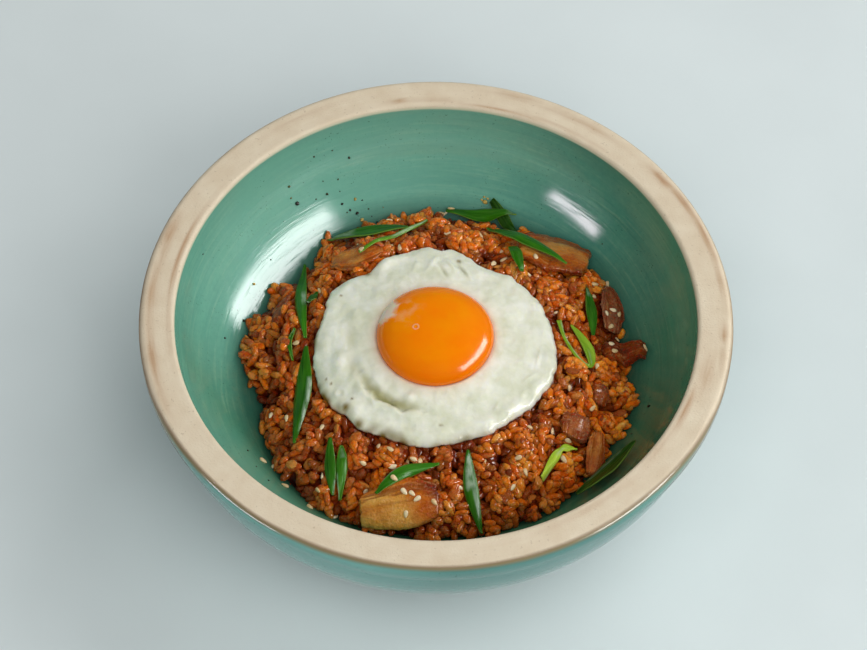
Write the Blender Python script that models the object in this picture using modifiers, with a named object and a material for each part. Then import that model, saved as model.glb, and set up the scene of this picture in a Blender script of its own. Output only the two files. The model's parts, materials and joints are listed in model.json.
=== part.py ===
"""Bowl of kimchi fried rice with a fried egg, as solids in metres with +Z up.

The origin is on the bowl's axis, at the bottom of its foot ring. The near side is -Y.
The bowl is turned, the heap of rice is a core with grains and sesame seeds fused on, and
the egg, the scallion slices and the kimchi pieces each lie on the heap as their own solid.
"""

import math
import random

import bmesh
import bpy
from mathutils import Euler, Matrix, Vector, noise
from mathutils.bvhtree import BVHTree

MM = 0.001
GAP = 0.3 * MM
SEED = 13

# The bowl: a flat unglazed rim, a turned body and a plain foot ring.
RIM_HEIGHT = 72 * MM
RIM_RADIUS = 105 * MM
RIM_WIDTH = 12.65 * MM
RIM_INNER_ROUND = 1.5 * MM
RIM_OUTER_ROUND = 2.5 * MM
LIP_HEIGHT = 5 * MM
LIP_UNDERCUT = 9 * MM
MOUTH_RADIUS = RIM_RADIUS - RIM_WIDTH
WELL_DEPTH = 59 * MM
BODY_RADIUS = 103 * MM
BODY_DEPTH = 71 * MM
BODY_POWER = 2.3
FOOT_RADIUS = 45 * MM
FOOT_WIDTH = 5.5 * MM
FOOT_EDGE = 0.8 * MM
RECESS_HEIGHT = 4 * MM
BOWL_SEGMENTS = 40
WELL_STEPS = 8
BODY_STEPS = 6
ROUND_STEPS = 2

# The heap of rice: how far it reaches up the wall at each bearing from +X, in degrees.
HEAP_CROWN = 52 * MM
HEAP_SHOULDER = 3.3
HEAP_LUMP = 1.3 * MM
HEAP_LUMP_SPACING = 15 * MM
HEAP_LUMP_FADE = 8
HEAP_EDGE = {
    0: 70.0, 14: 70.5, 32: 73.0, 52: 71.0, 74: 69.5, 92: 71.0, 122: 71.0, 139: 66.0,
    152: 68.5, 165: 70.5, 176: 71.0, 189: 66.0, 204: 67.5, 221: 72.0, 242: 72.3,
    262: 71.8, 285: 72.0, 310: 72.0, 332: 71.0, 348: 73.5,
}
EGG_COVER = (38 * MM, 43 * MM)
EGG_BED_GAP = 0.9 * MM
CORE_DROP = 1.5 * MM
CORE_CLEARANCE = 0.7 * MM
CORE_SEGMENTS = 40
CORE_RINGS = (0.0, 0.3, 0.56, 0.64, 0.72, 0.8, 0.88, 0.95, 1.0)

# What is fused to the core.
GRAIN_COUNT = 215
GRAINS_FROM = 41 * MM
GRAIN_MARGIN = 1.2 * MM
GRAIN_LENGTH = 7.0 * MM
GRAIN_WIDTH = 3.3 * MM
GRAIN_THICKNESS = 2.9 * MM
GRAIN_SPREAD = 0.12
GRAIN_BEND = 0.12
GRAIN_TILT = 22
GRAIN_RISE = (0.5 * MM, 1.5 * MM)
GRAIN_STEP_DOWN = 0.7 * MM
GRAIN_STEPS_DOWN = 4
GRAIN_SIDES = (5, 4)
RICE_TRIANGLES = 8350
WELD = 0.02 * MM
SEED_COUNT = 62
SEEDS_FROM = 44 * MM
SEED_MARGIN = 4 * MM
SEED_LENGTH = 3.1 * MM
SEED_WIDTH = 1.9 * MM
SEED_THICKNESS = 1.1 * MM
SEED_SINK = 0.15 * MM
SEED_TAPER = 0.6
SEED_TURNS = 2.3
SEED_SIDES = (5, 3)
GOLDEN_ANGLE = math.radians(137.508)
STRAY = 0.05
SLOPE_STEP = 1.5 * MM

# The fried egg: radii of the white from its middle at each bearing, in degrees.
EGG_CENTRE = Vector((-0.3 * MM, 1.0 * MM))
EGG_OUTLINE = {
    -22: 44.5, -2: 43.9, 16: 42.3, 30: 41.8, 45: 40.6, 57: 38.6, 66: 38.2, 75: 41.0,
    83: 42.6, 87: 41.5, 96: 43.3, 107: 42.6, 121: 41.4, 130: 39.8, 137: 43.2, 145: 45.4,
    154: 44.1, 164: 42.2, 174: 42.8, 187: 44.0, 206: 44.9, 217: 45.0, 226: 43.9, 233: 44.5,
    246: 43.1, 258: 43.4, 270: 43.2, 284: 42.2, 298: 42.4, 313: 42.2, 328: 43.4,
}
WHITE_EDGE_THICKNESS = 2.0 * MM
WHITE_COLLAR_THICKNESS = 3.6 * MM
WHITE_FLOOR_THICKNESS = 0.8 * MM
WHITE_LEDGE = 1.2 * MM
WHITE_SEGMENTS = 32
WHITE_WAVE = 0.5 * MM
WHITE_WAVES = 5
WHITE_RINGS = ("middle", "floor", "cup", "wall", "collar", "slope", "shoulder", "edge")
CUP_RINGS = 3
YOLK_RADIUS = 20.9 * MM
YOLK_RISE = 8.6 * MM
YOLK_SEGMENTS = 24
YOLK_RINGS = (0.0, 0.45, 0.78, 0.94, 1.0)
YOLK_SIDE_GAP = 0.5 * MM
YOLK_CUP = 2.0 * MM

# Cut scallion leaves and kimchi: a route seen from above and the widths along it, in mm.
# LEAF_THICKNESS and LEAF_CAMBER are in mm too, for the pieces that state none of their own.
LEAF_THICKNESS = 0.9
LEAF_CAMBER = 0.35
LEAF_STATIONS = 6
LEAF_TIP = 0.5 * MM
LEAF_WAVE = 0.3 * MM
LEAF_WAVES = 1.5
LEAF_LIFT = 0.3 * MM
LIFT_STEP = 0.15 * MM
DRAPE_SLOPE = 0.4
SCALLIONS = {
    "scallion_back_dark": dict(route=((20, 73), (25, 66.5), (30, 59)), widths=(2, 4, 1)),
    "scallion_back_wall": dict(
        route=((3, 70.1), (16, 68.4), (29.3, 67.2)), widths=(1.2, 4.4, 0.6)
    ),
    "scallion_back_left": dict(
        route=((-41, 56), (-27, 56.2), (-11, 57.2)), widths=(0.6, 6.2, 1.2)
    ),
    "scallion_back_thread": dict(
        route=((-28.7, 40.9), (-16.3, 50.9), (-4, 61.6)), widths=(0.8, 1.8, 0.8),
        stations=5, across=1,
    ),
    "scallion_back_short": dict(
        route=((27.5, 44.5), (29, 39.5), (31, 32.5)), widths=(3.4, 4.2, 1.2)
    ),
    "scallion_back_bright": dict(
        route=((18.5, 59), (32.5, 48), (47.3, 37)), widths=(1.6, 5.8, 0.6)
    ),
    "scallion_left_far": dict(route=((-49, 46), (-49.5, 25), (-47, 4)), widths=(0.8, 4.2, 1)),
    "scallion_left_branch": dict(
        route=((-51, 9.1), (-52.7, 3), (-51.2, -3.7)), widths=(0.8, 1.6, 0.6), stations=4, across=1,
    ),
    "scallion_left_bit": dict(
        route=((-47, 20.5), (-45, 23.5), (-43.5, 26.5)), widths=(0.8, 2.4, 0.8), stations=4,
        across=1,
    ),
    "scallion_left_wide": dict(
        route=((-46.5, 0.5), (-47, -17), (-49.5, -37)), widths=(1.2, 6, 0.8)
    ),
    "scallion_pair_under": dict(
        route=((-36.6, -37.7), (-36.3, -47.4), (-35.2, -57)), widths=(1, 3.4, 0.8)
    ),
    "scallion_pair_over": dict(
        route=((-32.6, -40.9), (-32.2, -47.5), (-32.6, -58.9)), widths=(1, 3.4, 0.8)
    ),
    "scallion_front_curved": dict(
        route=((-20, -61), (-11, -53), (2, -48)), widths=(1, 4.4, 0.8)
    ),
    "scallion_front_long": dict(
        route=((12, -43), (13.2, -55.5), (17.2, -70)), widths=(0.8, 5, 0.8)
    ),
    "scallion_right_twisted": dict(
        route=((38.2, -49.8), (44.9, -38.5), (50.7, -37.1)), widths=(1, 3.6, 1)
    ),
    "scallion_right_wall": dict(
        route=((50.3, -55), (61, -46.5), (71, -36)), widths=(0.8, 5.2, 0.8)
    ),
    "scallion_right_upright": dict(
        route=((55, 32), (56.5, 21.5), (57, 10.5)), widths=(0.8, 4, 1)
    ),
    "scallion_right_open": dict(
        route=((44.4, 13.5), (46.5, 6), (51.5, -2.2), (55.8, -4), (55, 4), (48.8, 13)),
        widths=(1.8, 1.1, 1.2, 1.6, 4.2, 0.8),
        stations=11,
    ),
}
KIMCHI = {
    "kimchi_front_stem": dict(
        route=((-25.5, -64.5), (-18, -64), (-7, -62.5), (2.2, -61.8)),
        widths=(9.5, 13, 15.5, 11), thickness=4.6,
        camber=1.2, across=4, rim=0.9,
    ),
    "kimchi_back_stem": dict(
        route=((30, 46.5), (42, 46), (55.5, 42.5)), widths=(12, 23, 15), thickness=4.4,
        camber=1.0, across=4, rim=0.9,
    ),
    "kimchi_right_ribbed": dict(
        route=((50.8, -25), (50.4, -29.5), (49, -34)), widths=(9, 11, 8), thickness=2.6,
        camber=0.8, across=3, stations=5, rim=0.5,
    ),
    "kimchi_right_stem": dict(
        route=((58, -31.5), (57.3, -38), (56, -45.5)), widths=(4, 6.5, 4.5), thickness=3.0,
        camber=0.6, stations=5, rim=0.5,
    ),
    "kimchi_right_leaf": dict(
        route=((62.5, 35.5), (64.5, 26), (64, 15)), widths=(4, 8.5, 6), thickness=1.4,
        camber=0.9, across=4,
    ),
    "kimchi_back_sheet": dict(
        route=((-39, 42), (-30, 40.5), (-20, 43)), widths=(7, 12, 5), thickness=2.0,
        camber=0.8, across=4, stations=5,
    ),
    "kimchi_right_point": dict(
        route=((60.5, 4.5), (68, 6.5), (76.5, 6.5)), widths=(6, 9.5, 6), thickness=3.4,
        camber=0.4, stations=5, rim=0.7,
    ),
    "kimchi_right_small": dict(
        route=((58.5, -12), (59.5, -15.5), (58.5, -19.5)), widths=(4, 6, 4), thickness=2.0,
        camber=0.5, stations=4,
    ),
    "kimchi_left_strip": dict(
        route=((-58.7, 13.7), (-56.8, 21), (-53.8, 27.5)), widths=(2.5, 4.2, 2), thickness=1.6,
        camber=0.3, stations=5,
    ),
}

# Base colours (linear), roughness.
BOWL_FINISH = ("glazed_stoneware", (0.15, 0.30, 0.26), 0.25)
RICE_FINISH = ("fried_rice", (0.42, 0.13, 0.03), 0.35)
WHITE_FINISH = ("egg_white", (0.82, 0.82, 0.74), 0.35)
YOLK_FINISH = ("egg_yolk", (0.90, 0.28, 0.01), 0.25)
SCALLION_FINISH = ("scallion_leaf", (0.09, 0.24, 0.02), 0.4)
KIMCHI_FINISH = ("kimchi_cabbage", (0.50, 0.20, 0.07), 0.35)


def clear_scene():
    for old in list(bpy.data.objects):
        bpy.data.objects.remove(old, do_unlink=True)


def new_collection(name):
    collection = bpy.data.collections.new(name)
    bpy.context.scene.collection.children.link(collection)
    return collection


def finish_material(finish):
    """The Principled material of a finish, made once and shared by all that have it."""
    name, colour, roughness = finish
    material = bpy.data.materials.get(name) or bpy.data.materials.new(name)
    material.use_nodes = True
    shader = material.node_tree.nodes["Principled BSDF"]
    shader.inputs["Base Color"].default_value = (*colour, 1.0)
    shader.inputs["Roughness"].default_value = roughness
    return material


def add_object(name, bm, collection, finish):
    """An object with the mesh of bm, shaded smooth, and the material of its finish."""
    mesh = bpy.data.meshes.new(name)
    bmesh.ops.recalc_face_normals(bm, faces=bm.faces)
    bm.to_mesh(mesh)
    bm.free()
    mesh.shade_smooth()
    mesh.materials.append(finish_material(finish))
    obj = bpy.data.objects.new(name, mesh)
    collection.objects.link(obj)
    return obj


def round_table(table, bearing):
    """A smooth closed curve through the values of a table of bearings, read at one bearing."""
    degrees = math.degrees(bearing)
    keys = sorted(table)
    after = next((i for i, key in enumerate(keys) if key > (degrees - keys[0]) % 360 + keys[0]), 0)
    around = [keys[(after + k) % len(keys)] for k in (-2, -1, 0, 1)]
    values = [table[key] for key in around]
    span = (around[2] - around[1]) % 360
    t = ((degrees - around[1]) % 360) / span
    return catmull_rom(*values, t)


def catmull_rom(a, b, c, d, t):
    """The curve through b and c, a fraction t of the way from b to c."""
    linear = (c - a) * 0.5
    square = a - 2.5 * b + 2 * c - 0.5 * d
    cube = 1.5 * (b - c) + 0.5 * (d - a)
    return b + linear * t + square * t * t + cube * t * t * t


def smooth_run(values, t):
    """A smooth curve through a list of numbers or vectors, read at t from 0 to 1."""
    last = len(values) - 1
    i = min(int(t * last), last - 1)
    a = values[max(i - 1, 0)]
    d = values[min(i + 2, last)]
    return catmull_rom(a, values[i], values[i + 1], d, t * last - i)


# ---------------------------------------------------------------- bowl


def arc(centre, radius, start, end, steps):
    """Points (r, z) on a circle about centre, from one angle to another in degrees."""
    angles = [math.radians(start + (end - start) * i / steps) for i in range(steps + 1)]
    return [(centre[0] + radius * math.cos(a), centre[1] + radius * math.sin(a)) for a in angles]


def bowl_profile():
    """(r, z) from the middle of the well, up its wall, over the rim and down to the foot."""
    well = []
    steepest = math.acos(RIM_INNER_ROUND / WELL_DEPTH)
    for i in range(WELL_STEPS + 1):
        t = steepest * i / WELL_STEPS
        well.append((MOUTH_RADIUS * math.sin(t), RIM_HEIGHT - WELL_DEPTH * math.cos(t)))
    inner = (MOUTH_RADIUS + RIM_INNER_ROUND, RIM_HEIGHT - RIM_INNER_ROUND)
    outer = (RIM_RADIUS - RIM_OUTER_ROUND, RIM_HEIGHT - RIM_OUTER_ROUND)
    rim = arc(inner, RIM_INNER_ROUND, 180, 90, ROUND_STEPS)[1:]
    rim += arc(outer, RIM_OUTER_ROUND, 90, 0, ROUND_STEPS)
    rim.append((RIM_RADIUS, RIM_HEIGHT - LIP_HEIGHT))
    body = []
    top = math.asin((LIP_UNDERCUT / BODY_DEPTH) ** (BODY_POWER / 2))
    bottom = math.acos(((FOOT_RADIUS + FOOT_EDGE) / BODY_RADIUS) ** (BODY_POWER / 2))
    for i in range(BODY_STEPS + 1):
        t = top + (bottom - top) * i / BODY_STEPS
        r = BODY_RADIUS * math.cos(t) ** (2 / BODY_POWER)
        body.append((r, RIM_HEIGHT - BODY_DEPTH * math.sin(t) ** (2 / BODY_POWER)))
    foot_inside = FOOT_RADIUS - FOOT_WIDTH
    foot = [
        (FOOT_RADIUS, FOOT_EDGE),
        (FOOT_RADIUS - FOOT_EDGE, 0.0),
        (foot_inside + FOOT_EDGE, 0.0),
        (foot_inside, FOOT_EDGE),
        (foot_inside - FOOT_EDGE, RECESS_HEIGHT),
        (0.0, RECESS_HEIGHT),
    ]
    return well + rim + body + foot


def turned(name, profile, segments, collection, finish):
    """A profile of (r, z) points turned round the Z axis."""
    mesh = bpy.data.meshes.new(name)
    points = [(r, 0.0, z) for r, z in profile]
    mesh.from_pydata(points, [(i, i + 1) for i in range(len(points) - 1)], [])
    mesh.materials.append(finish_material(finish))
    obj = bpy.data.objects.new(name, mesh)
    collection.objects.link(obj)
    screw = obj.modifiers.new("turn", "SCREW")
    screw.axis = "Z"
    screw.steps = segments
    screw.render_steps = segments
    screw.use_merge_vertices = True
    screw.merge_threshold = 0.01 * MM
    screw.use_smooth_shade = True
    return obj


def well_height(r):
    """The height of the bowl's inside at a radius."""
    if r >= MOUTH_RADIUS:
        return RIM_HEIGHT
    return RIM_HEIGHT - WELL_DEPTH * math.sqrt(1 - (r / MOUTH_RADIUS) ** 2)


# ---------------------------------------------------------------- heap of rice


def egg_cover(x, y):
    """1 under the egg, 0 where the rice shows, and between the two near the egg's edge."""
    reach = (Vector((x, y)) - EGG_CENTRE).length
    return min(max((EGG_COVER[1] - reach) / (EGG_COVER[1] - EGG_COVER[0]), 0.0), 1.0)


def heap_height(x, y):
    """The middle height of the grains that show, over the plan point x, y."""
    r = math.hypot(x, y)
    edge = round_table(HEAP_EDGE, math.atan2(y, x)) * MM
    fall = HEAP_CROWN - well_height(edge)
    fraction = min(r / edge, 1.0)
    lump = noise.noise(Vector((x, y, 0)) / HEAP_LUMP_SPACING) * HEAP_LUMP
    bare = 1 - egg_cover(x, y)
    return HEAP_CROWN - fall * fraction**HEAP_SHOULDER + lump * bare * (1 - fraction**HEAP_LUMP_FADE)


def core_height(x, y):
    """The top of the core: just under the egg, and lower where grains are fused on."""
    cover = egg_cover(x, y)
    return heap_height(x, y) - EGG_BED_GAP * cover - CORE_DROP * (1 - cover)


def shape_ball(segments, rings, place):
    """A ball whose points are moved by place(bearing, ring, under), top and underside alike."""
    bm = bmesh.new()
    bmesh.ops.create_uvsphere(bm, u_segments=segments, v_segments=2 * rings, radius=1)
    for vert in bm.verts:
        polar = math.acos(max(-1.0, min(1.0, vert.co.z)))
        step = round(polar / math.pi * 2 * rings)
        ring = min(step, 2 * rings - step)
        bearing = math.atan2(vert.co.y, vert.co.x) if ring else 0.0
        vert.co = place(bearing, ring, step > rings)
    return bm


def heap_core():
    """The bare heap: its top follows the grains, and its underside follows the bowl."""
    last = len(CORE_RINGS) - 1

    def place(bearing, ring, under):
        edge = round_table(HEAP_EDGE, bearing) * MM - CORE_CLEARANCE
        r = edge * CORE_RINGS[ring]
        x, y = r * math.cos(bearing), r * math.sin(bearing)
        low = well_height(r) + CORE_CLEARANCE
        if under or ring == last:
            return (x, y, low)
        return (x, y, max(core_height(x, y), low + CORE_CLEARANCE))

    return shape_ball(CORE_SEGMENTS, last, place)


def grain_mesh(rng):
    """A plump short grain along X, a little bent, with few sides."""
    bm = bmesh.new()
    sides, rings = GRAIN_SIDES
    bmesh.ops.create_uvsphere(bm, u_segments=sides, v_segments=rings, radius=0.5)
    size = [
        part * rng.uniform(1 - GRAIN_SPREAD, 1 + GRAIN_SPREAD)
        for part in (GRAIN_THICKNESS, GRAIN_WIDTH, GRAIN_LENGTH)
    ]
    bmesh.ops.scale(bm, vec=size, verts=bm.verts)
    for vert in bm.verts:
        along = vert.co.z / size[2]
        vert.co.y += GRAIN_BEND * size[2] * (0.25 - along * along)
    bmesh.ops.rotate(bm, matrix=Matrix.Rotation(math.pi / 2, 3, "Y"), verts=bm.verts)
    return bm


def seed_mesh():
    """A flat drop-shaped sesame seed along X."""
    bm = bmesh.new()
    sides, rings = SEED_SIDES
    bmesh.ops.create_uvsphere(bm, u_segments=sides, v_segments=rings, radius=0.5)
    bmesh.ops.scale(bm, vec=(SEED_THICKNESS, SEED_WIDTH, SEED_LENGTH), verts=bm.verts)
    for vert in bm.verts:
        vert.co.y *= 1 - SEED_TAPER * vert.co.z / SEED_LENGTH
    bmesh.ops.rotate(bm, matrix=Matrix.Rotation(math.pi / 2, 3, "Y"), verts=bm.verts)
    return bm


def slope_turn(x, y, height):
    """The turn that lays a flat thing on the surface height(x, y)."""
    step = SLOPE_STEP
    across = Vector((2 * step, 0, height(x + step, y) - height(x - step, y)))
    along = Vector((0, 2 * step, height(x, y + step) - height(x, y - step)))
    return across.cross(along).normalized().to_track_quat("Z", "Y").to_matrix()


def tree_of(bm):
    return BVHTree.FromBMesh(bm)


def object_tree(obj):
    """The tree of an object's evaluated mesh."""
    bpy.context.view_layer.update()
    return BVHTree.FromObject(obj, bpy.context.evaluated_depsgraph_get())


def is_clear(bm, others, gap):
    """Whether no face of bm crosses the others, and no point of it is nearer than the gap."""
    own = tree_of(bm)
    for other in others:
        if own.overlap(other):
            return False
        if any(other.find_nearest(vert.co, gap)[0] for vert in bm.verts):
            return False
    return True


def fused_grains(core, others, rng):
    """Grains spread evenly over the bare ring of the heap, each lowered until it is clear."""
    placed = []
    for i in range(GRAIN_COUNT):
        bearing = i * GOLDEN_ANGLE
        edge = round_table(HEAP_EDGE, bearing) * MM - GRAIN_MARGIN
        share = (i + rng.uniform(0.2, 0.8)) / GRAIN_COUNT
        r = math.sqrt(GRAINS_FROM**2 + (edge**2 - GRAINS_FROM**2) * share)
        bearing += rng.uniform(-STRAY, STRAY)
        x, y = r * math.cos(bearing), r * math.sin(bearing)
        spin = Matrix.Rotation(rng.uniform(0, math.tau), 3, "Z")
        tilt = Euler([math.radians(rng.uniform(-GRAIN_TILT, GRAIN_TILT)) for _ in "xy"] + [0])
        turn = slope_turn(x, y, core_height) @ tilt.to_matrix() @ spin
        rise = rng.uniform(*GRAIN_RISE)
        grain = grain_mesh(rng)
        bmesh.ops.rotate(grain, matrix=turn, verts=grain.verts)
        bmesh.ops.translate(grain, vec=(x, y, core_height(x, y) + rise), verts=grain.verts)
        for _ in range(GRAIN_STEPS_DOWN):
            if is_clear(grain, others, GAP):
                break
            down = turn @ Vector((0, 0, -GRAIN_STEP_DOWN))
            inwards = Vector((x, y, 0)).normalized() * -0.5 * GRAIN_STEP_DOWN
            bmesh.ops.translate(grain, vec=down + inwards, verts=grain.verts)
        if is_clear(grain, others, GAP) and tree_of(grain).overlap(core):
            placed.append(grain)
        else:
            grain.free()
    return placed


def fused_seeds(core_bm, grains, others, rng):
    """Sesame seeds that lie on the grains and the core, sunk just enough to be one with them."""
    joined = bmesh.new()
    for bm in [core_bm, *grains]:
        scratch = bpy.data.meshes.new("scratch")
        bm.to_mesh(scratch)
        joined.from_mesh(scratch)
        bpy.data.meshes.remove(scratch)
    ground = tree_of(joined)
    joined.free()
    placed = []
    for i in range(SEED_COUNT):
        bearing = i * GOLDEN_ANGLE * SEED_TURNS + rng.uniform(-STRAY, STRAY)
        edge = round_table(HEAP_EDGE, bearing) * MM - SEED_MARGIN
        r = math.sqrt(rng.uniform(SEEDS_FROM**2, edge**2))
        start = Vector((r * math.cos(bearing), r * math.sin(bearing), RIM_HEIGHT))
        hit, normal, _, _ = ground.ray_cast(start, Vector((0, 0, -1)))
        if hit is None:
            continue
        seed = seed_mesh()
        spin = Matrix.Rotation(rng.uniform(0, math.tau), 3, "Z")
        turn = normal.to_track_quat("Z", "Y").to_matrix() @ spin
        bmesh.ops.rotate(seed, matrix=turn, verts=seed.verts)
        lift = normal * (SEED_THICKNESS / 2 - SEED_SINK)
        bmesh.ops.translate(seed, vec=hit + lift, verts=seed.verts)
        if is_clear(seed, others, GAP) and tree_of(seed).overlap(ground):
            placed.append(seed)
        else:
            seed.free()
    return placed


def fuse(obj, pieces):
    """One union of the object with all the pieces, applied, keeping its largest outside."""
    group = new_collection("grains_and_seeds")
    for i, bm in enumerate(pieces):
        add_object(f"piece_{i:03d}", bm, group, RICE_FINISH)
    union = obj.modifiers.new("fuse", "BOOLEAN")
    union.operation = "UNION"
    union.solver = "MANIFOLD"
    union.operand_type = "COLLECTION"
    union.collection = group
    apply_modifiers(obj)
    for piece in list(group.objects):
        bpy.data.objects.remove(piece, do_unlink=True)
    bpy.data.collections.remove(group)
    bm = bmesh.new()
    bm.from_mesh(obj.data)
    bmesh.ops.remove_doubles(bm, verts=bm.verts, dist=WELD)
    bmesh.ops.triangulate(bm, faces=bm.faces)
    for shell in sorted(shells(bm), key=len)[:-1]:
        bmesh.ops.delete(bm, geom=list({v for face in shell for v in face.verts}), context="VERTS")
    count = len(bm.faces)
    bm.to_mesh(obj.data)
    bm.free()
    collapse = obj.modifiers.new("collapse", "DECIMATE")
    collapse.ratio = min(RICE_TRIANGLES / count, 1.0)
    apply_modifiers(obj)
    obj.data.shade_smooth()


def apply_modifiers(obj):
    """Replaces an object's mesh with the one that its modifiers make."""
    bpy.context.view_layer.update()
    graph = bpy.context.evaluated_depsgraph_get()
    mesh = bpy.data.meshes.new_from_object(obj.evaluated_get(graph))
    obj.modifiers.clear()
    obj.data = mesh


def shells(bm):
    """The faces of each separate shell of a mesh."""
    left = set(bm.faces)
    found = []
    while left:
        queue = [left.pop()]
        shell = []
        while queue:
            face = queue.pop()
            shell.append(face)
            for edge in face.edges:
                for other in edge.link_faces:
                    if other in left:
                        left.remove(other)
                        queue.append(other)
        found.append(shell)
    return found


# ---------------------------------------------------------------- egg


def white_place(bearing, ring, under):
    """A point of the white: an uneven disc on the heap, with a cup for the yolk."""
    outline = round_table(EGG_OUTLINE, bearing) * MM
    cup = YOLK_RADIUS + YOLK_SIDE_GAP
    collar = cup + WHITE_LEDGE
    edge = outline - WHITE_LEDGE
    middle = (collar + edge) / 2
    r = (0.0, 0.5 * cup, 0.8 * cup, cup, collar, middle, edge, outline)[ring]
    x = EGG_CENTRE.x + r * math.cos(bearing)
    y = EGG_CENTRE.y + r * math.sin(bearing)
    rest = heap_height(x, y)
    if under:
        return (x, y, rest)
    if WHITE_RINGS[ring] == "edge":
        return (x, y, rest + WHITE_EDGE_THICKNESS / 2)
    if ring <= CUP_RINGS:
        return (x, y, cup_floor() + YOLK_CUP * (r / cup) ** 4)
    wave = WHITE_WAVE * math.sin(WHITE_WAVES * bearing + 1) if WHITE_RINGS[ring] == "slope" else 0.0
    share = (r - collar) / (edge - collar)
    thickness = WHITE_COLLAR_THICKNESS + (WHITE_EDGE_THICKNESS - WHITE_COLLAR_THICKNESS) * share
    return (x, y, rest + thickness + wave)


def cup_floor():
    """The height of the flat floor under the yolk, above the heap's crown."""
    return HEAP_CROWN + WHITE_FLOOR_THICKNESS


def yolk_place(bearing, ring, under):
    """A point of the yolk: a low dome on a rounded underside that fits the cup."""
    fraction = YOLK_RINGS[ring]
    r = YOLK_RADIUS * fraction
    x = EGG_CENTRE.x + r * math.cos(bearing)
    y = EGG_CENTRE.y + r * math.sin(bearing)
    bottom = cup_floor() + 1.5 * GAP
    side = bottom + YOLK_CUP
    if under:
        return (x, y, bottom + YOLK_CUP * fraction**4)
    return (x, y, side + YOLK_RISE * math.sqrt(1 - fraction**2))


# ---------------------------------------------------------------- leaves and kimchi


def lie_height(x, y):
    """Where a leaf lies: on the grains, or on the bowl's wall beyond the heap."""
    r = math.hypot(x, y)
    return max(heap_height(x, y), well_height(r) + GAP)


def top_height(x, y, others):
    """The highest of the other pieces over a plan point, or nothing there."""
    start = Vector((x, y, RIM_HEIGHT))
    hits = [other.ray_cast(start, Vector((0, 0, -1)))[0] for other in others]
    return max((hit.z for hit in hits if hit), default=0.0)


def strip_mesh(piece, others):
    """An open strip along a route seen from above, draped over the heap and what is on it."""
    stations = piece.get("stations", LEAF_STATIONS)
    across = piece.get("across", 2)
    bm = bmesh.new()
    bmesh.ops.create_grid(bm, x_segments=stations - 1, y_segments=across, size=0.5)
    middles = [Vector((x, y)) * MM for x, y in piece["route"]]
    spans = [width * MM for width in piece["widths"]]
    camber = piece.get("camber", LEAF_CAMBER) * MM
    rises = [0.0] * stations
    rows = {}
    for vert in bm.verts:
        t = min(max(vert.co.x + 0.5, 0.0), 1.0)
        side = vert.co.y * 2
        near = 0.02
        ahead = smooth_run(middles, min(t + near, 1.0)) - smooth_run(middles, max(t - near, 0.0))
        aside = Vector((-ahead.y, ahead.x)).normalized()
        width = max(smooth_run(spans, t), LEAF_TIP)
        spot = smooth_run(middles, t) + aside * side * width / 2
        lie = lie_height(spot.x, spot.y)
        arch = camber * (1 - side * side) * min(width / max(spans), 1.0)
        wave = LEAF_WAVE * math.sin(math.tau * LEAF_WAVES * t + side)
        vert.co = (spot.x, spot.y, lie + arch + wave)
        row = round(t * (stations - 1))
        rows[vert] = row
        rises[row] = max(rises[row], top_height(spot.x, spot.y, others) + 2 * GAP - lie)
    step = (middles[-1] - middles[0]).length / (stations - 1)
    for vert, row in rows.items():
        vert.co.z += max(rise - abs(row - i) * step * DRAPE_SLOPE for i, rise in enumerate(rises))
    return bm


def add_strip(name, piece, finish, collection, others, core):
    """A leaf or a piece of kimchi, raised in small steps until it is clear of all below it."""
    obj = add_object(name, strip_mesh(piece, others), collection, finish)
    if obj.data.polygons[0].normal.z < 0:
        obj.data.flip_normals()
    solid = obj.modifiers.new("thickness", "SOLIDIFY")
    solid.thickness = piece.get("thickness", LEAF_THICKNESS) * MM
    solid.offset = 1
    if "rim" in piece:
        bevel = obj.modifiers.new("rim", "BEVEL")
        bevel.width = piece["rim"] * MM
        bevel.segments = 1
        bevel.limit_method = "ANGLE"
    bpy.context.view_layer.update()
    bm = bmesh.new()
    bm.from_mesh(obj.evaluated_get(bpy.context.evaluated_depsgraph_get()).to_mesh())
    rise = LEAF_LIFT
    bmesh.ops.translate(bm, vec=(0, 0, rise), verts=bm.verts)
    while not is_clear(bm, [core, *others], GAP):
        bmesh.ops.translate(bm, vec=(0, 0, LIFT_STEP), verts=bm.verts)
        rise += LIFT_STEP
    bm.free()
    obj.data.transform(Matrix.Translation((0, 0, rise)))
    print(f"{name}: raised {rise / MM:.2f} mm")
    return object_tree(obj)


def build():
    clear_scene()
    rng = random.Random(SEED)
    collection = new_collection("bowl_of_kimchi_fried_rice")
    bowl = turned("bowl", bowl_profile(), BOWL_SEGMENTS, collection, BOWL_FINISH)
    core_bm = heap_core()
    rice = add_object("rice", core_bm.copy(), collection, RICE_FINISH)
    core = tree_of(core_bm)
    white = shape_ball(WHITE_SEGMENTS, len(WHITE_RINGS) - 1, white_place)
    yolk = shape_ball(YOLK_SEGMENTS, len(YOLK_RINGS) - 1, yolk_place)
    obstacles = [
        object_tree(bowl),
        object_tree(add_object("egg_white", white, collection, WHITE_FINISH)),
        object_tree(add_object("egg_yolk", yolk, collection, YOLK_FINISH)),
    ]
    for pieces, finish in ((KIMCHI, KIMCHI_FINISH), (SCALLIONS, SCALLION_FINISH)):
        for name, piece in pieces.items():
            obstacles.append(add_strip(name, piece, finish, collection, obstacles, core))
    grains = fused_grains(core, obstacles, rng)
    seeds = fused_seeds(core_bm, grains, obstacles, rng)
    print(f"{len(grains)} grains and {len(seeds)} seeds")
    fuse(rice, grains + seeds)
    core_bm.free()


build()
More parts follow.
